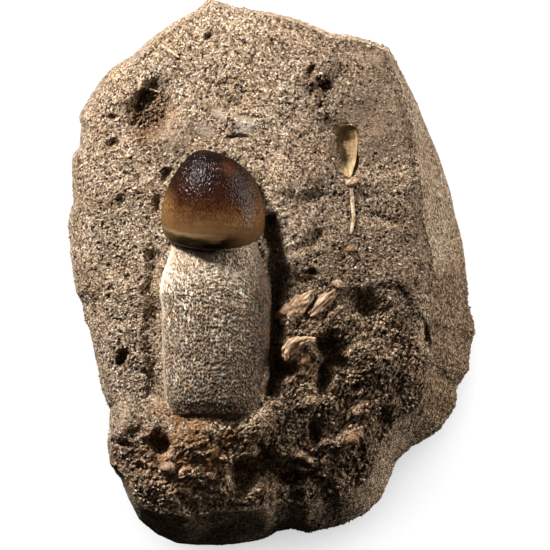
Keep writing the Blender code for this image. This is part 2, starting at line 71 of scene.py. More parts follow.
# The upper face is broken along these planes: a point (x, y, z) on each, and its rise along +X and +Y.
FACE_PLANES = [
    (0.0, 25.0, 37.6, -0.04, -0.02),  # middle
    (12.0, 25.0, 37.4, -0.15, -0.02),  # right of the middle
    (-27.0, 18.0, 36.8, 0.20, -0.03),  # left flank
    (0.0, 50.0, 36.6, 0.02, -0.22),  # top flank
    (34.0, 25.0, 35.2, -0.34, 0.02),  # right flank
    (20.0, -2.0, 38.6, -0.28, 0.24),  # lower right flank
    (0.0, -38.0, 37.4, -0.08, 0.18),  # bottom flank
    (0.0, -52.0, 34.0, -0.05, 0.33),  # bottom slope
    (-28.0, -26.0, 34.8, 0.14, 0.05),  # lower left flank
]
PLANE_BLEND = 1.2

# Hollows (negative) and lumps (positive) of the upper face: the middle (x, y), half length, half width, turn
# of the length from +X in degrees, the share of the half width that the wall takes, and the height.
SPOTS = [
    (-29.4, 39.6, 9.6, 6.2, 64, 0.6, -2.4),  # upper left pit
    (-32.3, 42.6, 3.2, 1.3, 74, 0.9, -1.4),
    (-28.8, 36.0, 5.2, 3.2, 60, 0.9, -1.4),
    (-24.4, 33.0, 9.0, 5.0, 54, 1.0, 1.2),  # rise beside it
    (-38.6, 37.9, 1.8, 1.4, 0, 0.9, -1.4),
    (-38.8, 31.3, 2.0, 1.5, 0, 0.9, -1.6),
    (-15.7, 57.8, 1.8, 1.2, 0, 0.9, -1.4),
    (-36.6, 18.2, 4.2, 2.2, 60, 1.0, -0.9),
    (1.6, 23.0, 4.0, 7.5, 8, 1.0, 2.4),  # rise at the crown's right
    (-25.6, 24.0, 2.6, 1.5, 50, 0.9, -2.0),  # holes beside the crown
    (-28.2, 16.6, 1.8, 3.2, 0, 0.9, -1.8),
    (-36.0, -20.4, 2.8, 2.0, 70, 0.6, -3.0),  # pit at the left
    (-9.0, 37.5, 10.0, 4.0, 0, 1.0, 1.3),  # swell above the crown
    (-8.0, 33.4, 4.4, 1.0, -4, 0.9, -1.2),  # crevice in it
    (9.4, 48.6, 2.6, 2.0, 40, 1.0, -1.6),  # hollows at the upper right
    (12.2, 45.6, 2.0, 2.4, 0, 0.9, -2.0),
    (11.0, 41.6, 1.8, 1.6, 0, 0.9, -1.4),
    (17.5, 30.0, 8.6, 4.2, 92, 0.5, -2.2),  # hollow of the fish tooth
    (8.0, 17.0, 6.0, 3.0, 35, 1.0, -1.2),
    (9.0, 8.0, 8.0, 2.4, 30, 1.0, -1.4),
    (27.0, 13.5, 9.0, 2.4, -12, 1.0, -1.0),
    (8.6, 0.6, 2.4, 1.4, -20, 0.8, -2.0),
    (22.6, -7.4, 7.0, 4.4, -34, 1.0, -3.0),  # hollow under the upper plane
    (13.4, -17.0, 5.2, 4.4, 0, 0.9, -5.6),  # deep hollow right of the bone
    (12.0, -24.4, 2.8, 7.0, -8, 1.0, -5.4),
    (15.4, -20.6, 3.4, 3.2, 0, 0.9, -3.0),
    (2.6, -22.8, 4.6, 2.8, 20, 0.8, -4.0),  # it opens into the groove
    (24.0, -20.0, 10.0, 8.0, 30, 1.0, 2.2),  # mound right of the deep hollow
    (17.6, -22.4, 2.0, 2.6, 20, 1.0, -2.4),
    (20.4, -27.0, 2.6, 1.8, 40, 1.0, -2.0),
    (9.2, -31.4, 4.0, 2.2, 30, 0.9, 2.6),  # lit ridge
    (9.8, -38.4, 2.4, 3.4, 0, 0.8, -4.0),
    (26.0, -35.4, 3.4, 4.0, 25, 1.0, -2.2),
    (16.6, -40.0, 7.4, 2.8, 16, 0.8, 2.8),  # shelf with the shell chip
    (20.6, -33.0, 3.0, 2.2, 0, 1.0, 1.8),
    (36.6, -14.6, 1.5, 4.6, 6, 0.9, -2.2),  # crevice beyond the crest
    (-27.4, -40.6, 3.2, 4.0, 0, 0.7, -5.0),  # pit below the root
    (-35.8, -35.6, 4.4, 4.6, 10, 0.9, 1.2),
    (-36.2, -40.4, 3.0, 1.3, -16, 0.9, -2.6),
    (-31.6, -46.6, 2.4, 1.6, 0, 0.8, -1.8),
    (-16.0, -38.4, 16.0, 14.5, 3, 1.0, 3.2),  # crumbly bank over the root's end
    (-3.0, -35.4, 7.4, 5.0, 30, 0.8, 2.2),
    (-21.0, -48.0, 3.4, 2.4, 30, 0.8, 1.6),
    (-7.4, -48.6, 6.4, 4.8, 80, 0.7, -4.4),  # hollows under the ledges
    (3.8, -49.4, 4.8, 3.0, -16, 0.8, -3.6),
    (7.8, -44.6, 5.0, 1.8, -20, 0.9, 2.6),  # lit ledge between them
    (16.0, -51.0, 6.0, 4.0, -20, 1.0, 1.8),
]
# Steps of the upper face: a line of points with the low ground on its right, the drop, the width of the
# drop, and the distance over which the low ground comes back up.
STEPS = [
    ([(-22.0, -52.4), (-16.6, -49.2), (-12.6, -45.4), (-6.6, -42.6), (-2.0, -41.3)], 2.2, 1.8, 9.0),
    ([(-2.0, -41.3), (6.1, -46.9), (11.4, -47.4), (15.5, -45.0), (20.5, -43.6)], 2.4, 1.6, 7.0),
    ([(16.4, 24.6), (14.0, 30.0), (10.4, 35.6), (11.2, 40.4), (10.4, 44.6), (14.3, 53.3)], 1.8, 2.2, 14.0),
    ([(2.8, 2.2), (7.3, 1.0), (15.0, -2.0), (19.3, -4.0), (24.0, -1.6), (27.0, -0.4), (32.0, -2.6),
      (35.6, -8.6)], 1.0, 2.4, 10.0),
]
# Gutters: a line of points, the half width, the share of it that the wall takes, and the depth.
GUTTERS = [
    ([(-0.8, 13.5), (0.4, 8.0), (1.2, 1.0), (0.6, -8.0), (0.4, -18.0), (-0.4, -28.0)], 3.2, 1.0, 4.8),
    ([(-29.2, 5.0), (-28.8, -12.0), (-28.2, -29.0)], 3.2, 1.0, 1.8),
]
STEP_FADE, GUTTER_FADE = 3.0, 4.0  # how far past their ends they run out
WARPS = [(4.5, 1.1), (1.9, 0.6)]  # size and reach of the waves that bend the spots, steps and gutters

# Uneven ground: the size and height of its waves.
WAVES = [(17.0, 1.5), (8.0, 0.95)]
# The crumbly break: the y below which it lies, by x, the distance over which it sets in, and the size and
# height of its waves.
CRUMBLY_BELOW = [
    (-50.0, -41.0), (-28.0, -36.0), (-2.0, -33.0), (1.0, 0.0), (15.0, -3.0), (24.0, -3.0), (30.0, -4.0),
    (35.0, -12.0), (39.0, -24.0), (50.0, -40.0),
]
CRUMBLE_FADE = 6.0
CRUMBLE_WAVES = (5.0, 0.8)
SIDE_WAVES = [(26.0, 2.4), (9.0, 0.9)]
SMOOTH_SIDES = [  # direction, half spread, share of the waves kept
    (30.0, 44.0, 0.3), (134.0, 26.0, 0.3), (252.0, 26.0, 0.45),
]
SEEDS = {"warp x": 3.1, "warp y": 8.7, "ground": 21.3, "crumble": 42.9, "side": 60.2}

# The tooth. The crown's rings are ovals around a line from (x, z) at its margin to (x, z) at its tip.
CROWN_MARGIN_Y, CROWN_WIDEST_Y, CROWN_TIP_Y = 9.6, 13.0, 29.9
CROWN_HALF_WIDTH, CROWN_HALF_DEPTH = 12.5, 11.6
CROWN_MARGIN_X, CROWN_TIP_X = -14.5, -16.9
CROWN_TIP_BEND = 8  # the higher, the nearer to the tip its middle line turns aside
CROWN_MARGIN_Z, CROWN_TIP_Z = 36.4, 39.8
CROWN_NECK_SHARE = 0.85  # of the widest ring
CROWN_POINTEDNESS = 1.16  # 1 is an oval dome
MARGIN_SLOPE = 0.36  # how far the crown's margin dips towards +Z
# The root's rings: y, half width, half depth and x of the middle.
ROOT_RINGS = [
    (9.0, 10.2, 8.8, -14.2), (6.2, 11.0, 9.0, -13.8), (3.1, 11.8, 9.4, -14.0), (-0.7, 12.8, 9.9, -14.2),
    (-4.0, 13.4, 10.1, -14.3), (-8.0, 13.1, 10.1, -13.9),
    (-17.3, 12.95, 10.0, -14.05), (-25.7, 12.4, 9.6, -14.3), (-30.4, 12.0, 9.2, -14.2),
    (-33.2, 11.2, 8.2, -14.1), (-35.2, 9.4, 6.0, -14.1),
]
ROOT_TOP_Z, ROOT_END_Z = 35.8, 31.0
ROOT_SQUARENESS = 0.8  # 1 is an oval section, and less is squarer

# Small embedded pieces lie along the face: points (x, y, height of the middle over the face), the half widths
# there, and how far the upper and the lower side bulge, as shares of the width. A hollow side bulges by less
# than nothing.
BARS = [
    ("fish_tooth", [(17.3, 36.2, 1.0), (17.4, 32.6, 1.1), (17.6, 27.6, 0.9), (18.2, 23.4, 0.4)],
     [2.7, 3.0, 2.3, 0.5], (-0.34, 0.8)),
    ("fish_bone", [(18.8, 20.8, 0.2), (19.0, 17.2, 0.25), (19.3, 13.6, 0.3), (18.6, 9.8, 0.4)],
     [0.42, 0.46, 0.46, 0.36], (0.8, 0.8)),
    ("bone_fragment_long", [(1.3, -11.8, 1.3), (4.0, -9.0, 1.0), (7.0, -6.2, 0.8), (9.5, -3.9, 0.9)],
     [1.7, 2.1, 1.8, 0.9], (0.7, 0.8)),
    ("bone_fragment_thin", [(8.8, -9.8, 0.8), (11.0, -7.6, 0.6), (13.2, -5.2, 0.4), (15.0, -3.6, 0.3)],
     [0.9, 1.3, 1.4, 0.9], (0.7, 0.8)),
    ("bone_fragment_short", [(2.6, -20.4, 2.0), (3.4, -17.4, 1.6), (6.4, -15.9, 1.2), (10.2, -15.2, 2.2)],
     [1.1, 1.6, 1.5, 0.9], (0.7, 0.8)),
]
# Pebbles: the middle (x, y, height over the face), the half sizes and the turn in degrees.
PEBBLES = [
    ("pebble_pale", (-25.5, -46.6, 0.8), (2.0, 1.4, 1.3), -15),
    ("pebble_cream", (15.6, -2.2, 0.5), (1.5, 1.1, 0.9), -25),
    ("pebble_tan", (18.4, 6.2, 0.4), (0.9, 0.8, 0.7), 10),
    ("shell_chip", (18.4, -39.8, 0.3), (2.4, 1.3, 0.8), 10),
    ("bone_chip", (18.8, 22.2, 0.1), (1.4, 1.0, 0.8), 20),
]
PEBBLE_ROUGHNESS = 0.22
WIDEST_ROW_SHARE = 0.6  # of the way down the sides lies above the widest outline


def smooth(t):
    t = np.clip(t, 0.0, 1.0)
    return t * t * (3.0 - 2.0 * t)


def waves(points, size, seed):
    """Smooth noise between about -1 and 1, with features of the given size."""
    shift = Vector((seed, -seed, seed * 0.5))
    return np.array([noise.noise(Vector(p) / size + shift) for p in points])


def around(table, degrees):
    """The columns of a table by direction, interpolated all the way round."""
    rows = np.array([*table, (table[0][0] + 360, *table[0][1:])])
    turned = np.mod(degrees - rows[0, 0], 360) + rows[0, 0]
    return [np.interp(turned, rows[:, 0], rows[:, column]) for column in range(1, rows.shape[1])]


def outline_radius(degrees):
    polar = sorted((math.degrees(math.atan2(y, x)) % 360, math.hypot(x, y)) for x, y in OUTLINE)
    return around(polar, degrees)[0]


def rim_radius(degrees):
    return outline_radius(degrees) - around(SIDES, degrees)[0]


def from_line(x, y, points):
    """The distance to a line of points, positive on its right."""
    best = np.full(x.shape, np.inf)
    signed = np.zeros(x.shape)
    for (x0, y0), (x1, y1) in zip(points, points[1:]):
        dx, dy = x1 - x0, y1 - y0
        length = math.hypot(dx, dy)
        along = np.clip(((x - x0) * dx + (y - y0) * dy) / length**2, 0, 1)
        away = np.hypot(x - x0 - along * dx, y - y0 - along * dy)
        side = np.sign((x - x0) * dy - (y - y0) * dx)
        nearer = away < best
        best = np.where(nearer, away, best)
        signed = np.where(nearer, side * away, signed)
    return signed


def end_fade(x, y, points, fade):
    """1 beside the line of points, falling to 0 past its ends."""
    (x0, y0), (x1, y1) = points[0], points[-1]
    dx, dy = x1 - x0, y1 - y0
    length = math.hypot(dx, dy)
    along = ((x - x0) * dx + (y - y0) * dy) / length
    return smooth((along + fade) / fade) * smooth((length + fade - along) / fade)


def crumbly_at(x, y):
    """1 on the crumbly break of the upper face, 0 off it."""
    return smooth((np.interp(x, *zip(*CRUMBLY_BELOW)) - y) / CRUMBLE_FADE)


def face_height(x, y, to_rim):
    """The height of the upper face. to_rim runs from 0 in the middle to 1 at the rim."""
    planes = [z + rise_x * (x - px) + rise_y * (y - py) for px, py, z, rise_x, rise_y in FACE_PLANES]
    height = -PLANE_BLEND * np.log(sum(np.exp(-plane / PLANE_BLEND) for plane in planes))
    flat = np.column_stack([x, y, np.zeros(x.shape)])
    wx = x + sum(reach * waves(flat, size, SEEDS["warp x"]) for size, reach in WARPS)
    wy = y + sum(reach * waves(flat, size, SEEDS["warp y"]) for size, reach in WARPS)
    for mx, my, half_length, half_width, turn, wall, rise in SPOTS:
        c, s = math.cos(math.radians(turn)), math.sin(math.radians(turn))
        along = ((wx - mx) * c + (wy - my) * s) / half_length
        across = ((wy - my) * c - (wx - mx) * s) / half_width
        height += rise * smooth((1 - np.hypot(along, across)) / wall)
    for points, drop, width, fade in STEPS:
        below = from_line(wx, wy, points)
        recovered = np.exp(-np.maximum(below, 0) / fade)
        height -= drop * smooth(below / width) * recovered * end_fade(x, y, points, STEP_FADE)
    for points, half_width, wall, depth in GUTTERS:
        away = np.abs(from_line(wx, wy, points))
        height -= depth * smooth((1 - away / half_width) / wall) * end_fade(x, y, points, GUTTER_FADE)
    for size, rise in WAVES:
        height += rise * waves(flat, size, SEEDS["ground"])
    height += crumbly_at(x, y) * CRUMBLE_WAVES[1] * waves(flat, CRUMBLE_WAVES[0], SEEDS["crumble"])
    return height - RIM_ROUNDING * smooth((to_rim - 1 + RIM_ROUNDING_SHARE) / RIM_ROUNDING_SHARE)


def on_face(point):
    """The point (x, y, height over the upper face) as (x, y, z)."""
    x, y, over = (np.array([value]) for value in point)
    to_rim = np.hypot(x, y) / rim_radius(np.degrees(np.arctan2(y, x)))
    return x[0], y[0], face_height(x, y, to_rim)[0] + over[0]


def push_out(points, push, degrees):
    """Moves the points outwards, away from the middle line of the block."""
    points[:, 0] += push * np.cos(np.radians(degrees))
    points[:, 1] += push * np.sin(np.radians(degrees))


def side_points(degrees, rim_height, share):
    """Points of the sides, from the rim (share 0) over the widest outline to the underside (share 1)."""
    run, widest_height, undercut = around(SIDES, degrees)
    widest = outline_radius(degrees)
    above = np.clip(share / WIDEST_ROW_SHARE, 0, 1)
    below = np.clip((share - WIDEST_ROW_SHARE) / (1 - WIDEST_ROW_SHARE), 0, 1)
    radius = widest - run * (1 - above) ** 1.3 - undercut * below**1.6
    height = rim_height + (widest_height - rim_height) * above - widest_height * below
    angle = np.radians(degrees)
    points = np.column_stack([radius * np.cos(angle), radius * np.sin(angle), height])
    calm = np.ones(degrees.shape)
    for direction, spread, kept in SMOOTH_SIDES:
        off = np.abs(np.mod(degrees - direction + 180, 360) - 180)
        calm = np.minimum(calm, kept + (1 - kept) * smooth(off / spread))
    push = sum(rise * waves(points, size, SEEDS["side"]) for size, rise in SIDE_WAVES)
    push *= calm * (np.sin(np.pi * above) + 0.5 * np.sin(np.pi * below))
    push_out(points, push, degrees)
    return points


def squared(value, squareness):
    return math.copysign(abs(value) ** squareness, value)


def tooth_ring(centre, half_width, half_depth, slope, turns, squareness=1.0):
    """A ring across the tooth, at the given angles. Its plane dips towards +Z by the slope."""
    cx, cy, cz = centre
    ring = []
    for turn in turns:
        right, up = squared(math.cos(turn), squareness), squared(math.sin(turn), squareness)
        ring.append((cx + half_width * right, cy - slope * half_depth * up, cz + half_depth * up))
    return ring


# ---- Detail of the rock ----

FACE_COLUMNS, FACE_ROWS, SIDE_ROWS = 376, 520, 60
RIM_FADE = 0.03  # the share of the way to the rim over which the fine ground runs out
HOLLOW_BLURS, HOLLOW_LIMITS = 150, (-3.0, 5.0)  # rounds of smoothing to measure hollows from, and millimetres
SIDE_SCRAPED = 0.15  # how much of the scraped look the calm sides have
SIDE_LUMPS = 0.4  # how much of the lumps of the broken face its sides have
SIDE_FADE = 0.06  # the share of the sides' height over which their fine ground runs out
# Swells of the sides: the size and height, and the shares of the sides' height over which they set in from
# the rim and the underside, and from the widest outline.
SIDE_SWELLS, SWELL_FADE, SWELL_FADE_WIDEST = [(15.0, 1.3), (6.5, 0.7)], 0.2, 0.3
BROKEN_SIDE, BROKEN_SIDE_FADE = (-48.0, 6.0), 8.0  # directions between which the sides are freshly broken
# Fine ground: the size and height of its waves, which lose on calm rock and gain on crumbly rock. Crests
# stand on the crumbly break only, and small holes lie all over.
FINE_WAVES, FINE_SEED = [(4.5, 0.16), (2.2, 0.13), (1.0, 0.10)], 7.7
CALM_LOSS, CRUMBLY_GAIN = 0.6, 0.6
CRESTS, CREST_SEED = [(3.4, 0.5), (1.4, 0.4)], 13.0
CREST_TOP = 0.4  # the share of a crest's height that stands over the ground
CREST_TURN = np.array([(0.35, -0.9, 0.0), (0.35, 0.9, 0.0), (0.0, 0.0, 0.9)])  # they run to the upper right
HOLE_SIZE, HOLE_DEPTH, HOLE_SEED = 2.0, 0.4, 31.0
HOLE_FROM, HOLE_FADE = 0.34, 0.3  # the wave's height above which there is a hole, and the width of its wall
# Sand grains packed in the surface, and lumps on broken rock: size, relief and mean height, 0 to 1.
PACKED_SIZE, PACKED_RELIEF, PACKED_MEAN = 0.52, 0.34, 0.4
LUMP_SIZE, LUMP_RELIEF, LUMP_MEAN = 1.0, 0.75, 0.5
GRAIN_EDGE = 0.5  # how wide the rounding of a grain is, in grain sizes
LOST_SHARE, LOST_HEIGHT = 0.06, -0.5  # of the grains have fallen out, and where the surface lies then
SCRAMBLE, SCRAMBLE_BY = (12.99, 78.23, 37.72), 43758.5  # they turn a place into a random number
# Calm patches of the upper face, where the rock is scraped smooth: the middle (x, y) and the radius.
CALM = [
    ((24.0, 38.0), 11.0), ((24.0, 54.0), 5.0), ((-24.0, 33.5), 6.0), ((-37.0, -34.0), 5.0),
    ((-7.1, 35.8), 2.6), ((-13.2, 38.6), 2.2), ((-16.4, 35.0), 2.6),
]
CALM_MARGIN = 0.3  # they reach past their radius by this share of it
# Freshly broken patches, where the ground is crumbly too.
BROKEN = [((-29.6, 40.0), 8.0), ((-31.0, 34.0), 5.0), ((10.4, 46.0), 5.0), ((-36.0, -20.4), 4.0)]
BROKEN_STEEPNESS = 1.4  # how fast they set in
# Painted shade that darkens the right of the upper face: the x and y beyond which it lies, and how far it
# takes to set in.
PAINTED_SHADE_FROM, PAINTED_SHADE_FADE = (-3.0, -8.0), (16.0, 10.0)
# Loose sand grains: half their size, how strongly small ones prevail, and the ranges of their length, their
# unevenness and how far they stand out, in half sizes, with the spread of their tilt.
GRAIN_HALF_SIZES, GRAIN_SMALLNESS = (0.10, 0.30), 1.8
GRAIN_LENGTHS, GRAIN_CORNERS, GRAIN_LIFTS, GRAIN_TILT = (0.9, 1.4), (0.75, 1.25), (-0.2, 0.4), 0.5
FACE_GRAINS, SIDE_GRAINS = 12000, 11000
CRUMB_HALF_SIZES, CRUMBS = (0.3, 0.75), 1300
TRIES, FULL_AREA = 4, 90  # tries for each grain, and the percentile of the cells' areas that loses none
UNDERSIDE_MARGIN = 1.2  # no grains below this height
# The shares of the grains that calm ground, calm sides and broken sides lack, the share of the crumbs that
# lies off the broken ground, and how much duller grains are on it.
CALM_LACKS, CALM_SIDE_LACKS, BROKEN_SIDE_LACKS = 0.5, 0.93, 0.75
CRUMBS_OFF_BREAK, BROKEN_DULLNESS = 0.12, 0.3

# ---- Detail of the embedded pieces ----

CROWN_COLUMNS, CROWN_LIP_ROWS, CROWN_DOME_ROWS = 420, 24, 150
ROOT_COLUMNS, ROOT_ROWS = 350, 200
BAR_COLUMNS, BAR_ROWS = 20, 40
SEEN_COLUMNS_SHARE = 0.84  # of the tooth's columns lie on its upper part
SEEN_FROM, SEEN_TO = -15.0, 195.0  # degrees round the tooth
# The enamel's wrinkles: their size and height, the size and reach of the waves that bend them, how far up the
# crown they set in, and the x from which that is lower. Growth rings show where there are no wrinkles.
WRINKLE_SIZE, WRINKLE_RADIUS, WRINKLE_HEIGHT = (0.44, 0.58, 0.44), 0.62, 0.16
WRINKLE_BEND = (2.4, 0.5)
WRINKLED_FROM, WRINKLED_FADE, WRINKLED_LOWER = 0.2, 0.36, 0.1
RIGHT_FROM, RIGHT_FADE = -14.0, 8.0
GROWTH_SIZE, GROWTH_HEIGHT = (7.0, 0.7, 7.0), 0.04
ENAMEL_WAVES = (5.0, 0.06)
RIDGE_MEAN, ENAMEL_SINK = 0.7, 0.05  # keep the detail about level with the plain crown
# The root's pores: their size and depth, the size and reach of the waves that bend them, and the thickness of
# the walls between them and the width of their edge, as shares of their size.
PORE_SIZE, PORE_DEPTH = (0.38, 1.00, 0.38), 0.36
PORE_BEND = (3.2, 0.12)
PORE_WALL, PORE_EDGE = 0.08, 0.28
PORE_PATCHES = (3.0, 1.4, 0.9)  # the size of shallower patches, and the mean and reach of the depth
# The left side is worn smooth up to a height, in half depths, and pores are shallower at the neck.
WORN_UP_TO, WORN_FADE = 0.2, 0.4
NECK_SHARE, NECK_FADE, NECK_PORES = 0.08, 0.3, 0.6
ROOT_LUMPS = [((7.0, 7.0, 7.0), 0.30, 1.0), ((1.8, 4.5, 1.8), 0.10, 3.0)]  # size, height and seed
BAR_TAPER, BAR_END_SHARE = 0.35, 0.45  # how far from its ends a bar tapers, and its width there
# Grooves of the bars: the size along, the size across and the height. Their waves and cracks have a size, a
# seed and a height, as shares of these.
BONE_GROOVES, TOOTH_GROOVES, SPINE_GROOVES = (3.0, 0.7, 0.55), (6.0, 0.9, 0.10), (2.0, 0.8, 0.10)
BAR_WAVES = [(1.0, 3.3, 1.0), (0.45, 8.1, 0.6)]
CRACKS, CRACK_SHARPNESS = (0.8, 5.9, 0.35), 9.0
# The blades of a bone fragment: the shift sideways in half widths and upwards in millimetres, and where each
# starts and ends along it.
BLADES = [(-0.62, -0.2, 0.0, 0.72), (-0.2, 0.15, 0.1, 1.0), (0.22, 0.0, 0.0, 0.86), (0.6, -0.3, 0.2, 0.95)]
BLADE_HALF_WIDTH = 0.46  # of the fragment's
# Thin pale slivers that lie on the face: points (x, y, height of the middle over the face) and half widths.
SLIVERS = [
    ([(-27.0, 55.4, 0.3), (-25.1, 54.0, 0.3), (-22.8, 52.4, 0.3)], [0.25, 0.5, 0.3]),
    ([(-32.5, 46.2, 0.3), (-32.2, 45.4, 0.3), (-32.8, 44.4, 0.3)], [0.3, 0.4, 0.3]),
    ([(-29.9, 44.9, 0.4), (-28.8, 44.5, 0.5), (-27.7, 44.2, 0.4)], [0.2, 0.3, 0.2]),
]
SLIVER_BULGES = (0.8, 0.8)
# Small chips: the middle (x, y, height over the face), the half sizes and the turn in degrees.
CHIPS = [
    ((7.4, -20.6, 0.4), (1.5, 0.9, 0.5), 40), ((6.9, -23.6, 0.1), (0.9, 0.6, 0.4), 60),
    ((20.0, -33.2, 0.3), (0.9, 0.8, 0.7), 0), ((22.4, -33.0, 0.2), (0.7, 0.6, 0.6), 0),
    ((-1.6, -29.8, 0.3), (0.8, 0.6, 0.5), 30), ((-31.6, -38.8, 0.4), (0.8, 0.7, 0.6), 0),
]
ORANGE_PEBBLES, ORANGE_CHIPS = ("pebble_tan", "shell_chip"), 2  # the first chips
PEBBLE_WAVES = [(1.4, PEBBLE_ROUGHNESS), (2.8, 0.3)]  # frequency and height, by the half size

# ---- Colour that lies in one place: the middle (x, y, z) and the radius ----

FULL_COLOUR_SHARE = 0.3  # of the radius
RUST = [  # with its strength
    ((-19.0, -40.0, 37.0), 18.0, 0.8), ((-30.0, 39.0, 33.0), 9.0, 0.2), ((4.0, -22.0, 33.0), 9.0, 0.4),
]
PAINTED_LIGHT_SLOPE = ((-20.0, -57.0, 30.0), 30.0)  # painted light: the broken ground is not darkened at the bottom left, to lighten its shaded slope
# Painted light: the broken ground at the bottom edge is brightened by a factor where it lies in shade.
PAINTED_LIGHT_BOTTOM, PAINTED_LIGHT_GAIN = ((-14.0, -52.0, 38.0), 22.0), (1.8, 1.8, 1.8)
PALE_PATCHES = [((-7.1, 35.8, 38.0), 2.8), ((-13.2, 38.6, 38.0), 2.8), ((-16.4, 35.0, 38.0), 2.8)]
RED_PATCH = ((-10.4, 25.9, 45.5), 3.2)  # on the crown

# ---- The light and the camera, in metres and watts ----

LIGHTS = [  # name, place, size, power and colour
    ("key", (-0.27, 0.36, 0.25), (0.07, 0.07), 7.0, (1.0, 0.99, 0.98)),
    ("softbox", (-0.50, 0.62, 0.50), (0.6, 0.6), 1.7, (1.0, 1.0, 1.0)),
    ("side", (0.50, 0.22, 0.12), (0.5, 0.2), 5.0, (1.0, 0.97, 0.92)),
    ("overhead", (0.10, 0.45, 1.10), (0.5, 0.5), 0.5, (1.0, 1.0, 1.0)),
]
WORLD_COLOUR, WORLD_STRENGTH = (1.0, 0.88, 0.70, 1.0), 0.022
CAMERA_X, CAMERA_HEIGHT = 0.00036, 1.34
SHARP_PLANE_HEIGHT, PIXEL_MM = 0.040, 0.24  # a pixel of the frame is so wide at that height
FRAME_PIXELS, SENSOR_MM = 550, 36.0
FLOOR_HALF_SIZE, FLOOR_Z = 3.0, -0.0002
FLOOR_SHADOW_REACH, FLOOR_SHADOW_SAMPLES, FLOOR_OPEN_TO = 0.045, 16, (-0.16, 0.82, 0.5)
FLOOR_SHADOW, FLOOR_GLOW = (0.22, 0.68), (0.45, 1.05)  # from shadow to light: the open share, and the glow


# ---- Helpers ----


def to_patch(x, y, patches):
    """How near each point is to the middle of a patch: 1 on it, 0 at its radius, less beyond."""
    return np.max([1 - np.hypot(x - cx, y - cy) / radius for (cx, cy), radius in patches], axis=0)


def calm_at(x, y):
    return smooth(CALM_MARGIN + to_patch(x, y, CALM))


def broken_at(x, y):
    return np.maximum(crumbly_at(x, y), smooth(BROKEN_STEEPNESS * to_patch(x, y, BROKEN)))


def painted_right_shade_at(x, y):
    """1 where shade is painted on the right of the upper face, 0 off it."""
    return smooth((x - PAINTED_SHADE_FROM[0]) / PAINTED_SHADE_FADE[0]) * smooth((y - PAINTED_SHADE_FROM[1]) / PAINTED_SHADE_FADE[1])


def broken_side_at(degrees):
    signed = np.mod(degrees + 180, 360) - 180
    start, end = BROKEN_SIDE
    return smooth((signed - start) / BROKEN_SIDE_FADE) * smooth((end - signed) / BROKEN_SIDE_FADE)


def calm_side_at(degrees):
    calm = np.zeros(degrees.shape)
    for direction, spread, _ in SMOOTH_SIDES:
        off = np.abs(np.mod(degrees - direction + 180, 360) - 180)
        calm = np.maximum(calm, 1 - smooth(2 * off / spread - 1))
    return calm


def packed_grains(points, size):
    """Grains packed side by side: how high each point lies on its grain, and the grain's number, 0 to 1."""
    rows = []
    for point in points / size:
        distances, middles = noise.voronoi(Vector(point))
        rows.append((distances[1] - distances[0], *middles[0]))
    rows = np.array(rows)
    own_number = np.mod(np.sin(rows[:, 1:] @ SCRAMBLE) * SCRAMBLE_BY, 1.0)
    return np.sqrt(np.clip(rows[:, 0] / GRAIN_EDGE, 0, 1)), own_number


def fine_ground(points, calm, broken):
    """The fine uneven ground at each point, in millimetres, and how high it lies on its grain."""
    height = sum(rise * waves(points, size, FINE_SEED * size) for size, rise in FINE_WAVES)
    height *= (1 + CRUMBLY_GAIN * broken) * (1 - CALM_LOSS * calm)
    holes = smooth((waves(points, HOLE_SIZE, HOLE_SEED) - HOLE_FROM) / HOLE_FADE)
    height -= HOLE_DEPTH * (1 - calm) * holes
    drawn_out = points @ CREST_TURN
    for size, rise in CRESTS:
        height += rise * broken * (CREST_TOP - 2 * np.abs(waves(drawn_out, size, CREST_SEED * size)))
    rounded, own_number = packed_grains(points, PACKED_SIZE)
    on_grain = np.where(own_number < LOST_SHARE, LOST_HEIGHT, rounded * (0.5 + 0.5 * own_number))
    height += PACKED_RELIEF * (1 - CALM_LOSS * calm) * (on_grain - PACKED_MEAN)
    height += LUMP_RELIEF * broken * (packed_grains(drawn_out, LUMP_SIZE)[0] - LUMP_MEAN)
    return height, on_grain


def grid_faces(columns, rows, closed):
    """Quads of a grid of vertices stored row by row. A closed grid joins its last column to its first."""
    across = np.arange(columns if closed else columns - 1)
    down = np.arange(rows - 1)[:, None] * columns
    nxt = (across + 1) % columns
    quads = np.stack([down + across, down + nxt, down + columns + nxt, down + columns + across], axis=-1)
    return quads.reshape(-1, 4).tolist()


def tube_faces(columns, rows):
    """Faces of a tube of rings that is closed at both ends."""
    last = (rows - 1) * columns
    return [*grid_faces(columns, rows, True), list(range(columns))[::-1], list(range(last, last + columns))]


def add_object(name, data, place=(0, 0, 0)):
    obj = bpy.data.objects.new(name, data)
    obj.location = place
    bpy.context.scene.collection.objects.link(obj)
    return obj


def add_piece(name, points, faces, material, node=None, attributes=None, oriented=False):
    """A mesh from points in millimetres, with its place in the frame and values on its points."""
    mesh = bpy.data.meshes.new(name)
    mesh.from_pydata((np.asarray(points) * MM).tolist(), [], faces)
    for key, values in (attributes or {}).items():
        layer = mesh.attributes.new(key, "FLOAT", "POINT")
        layer.data.foreach_set("value", np.asarray(values, np.float32))
    if not oriented:
        bm = bmesh.new()
        bm.from_mesh(mesh)
        bmesh.ops.recalc_face_normals(bm, faces=bm.faces)
        bm.to_mesh(mesh)
        bm.free()
    mesh.materials.append(material)
    mesh.shade_smooth()
    obj = add_object(name, mesh)
    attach(obj, "root")
    if node:
        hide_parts(node)


# ---- The rock ----


def border_of_face():
    """Indices of the border of the face's grid of points, anticlockwise from its first corner."""
    columns, rows = FACE_COLUMNS + 1, FACE_ROWS + 1
    bottom = np.arange(columns)
    right = np.arange(1, rows) * columns + columns - 1
    top = (rows - 1) * columns + np.arange(columns - 2, -1, -1)
    left = np.arange(rows - 2, 0, -1) * columns
    return np.concatenate([bottom, right, top, left])


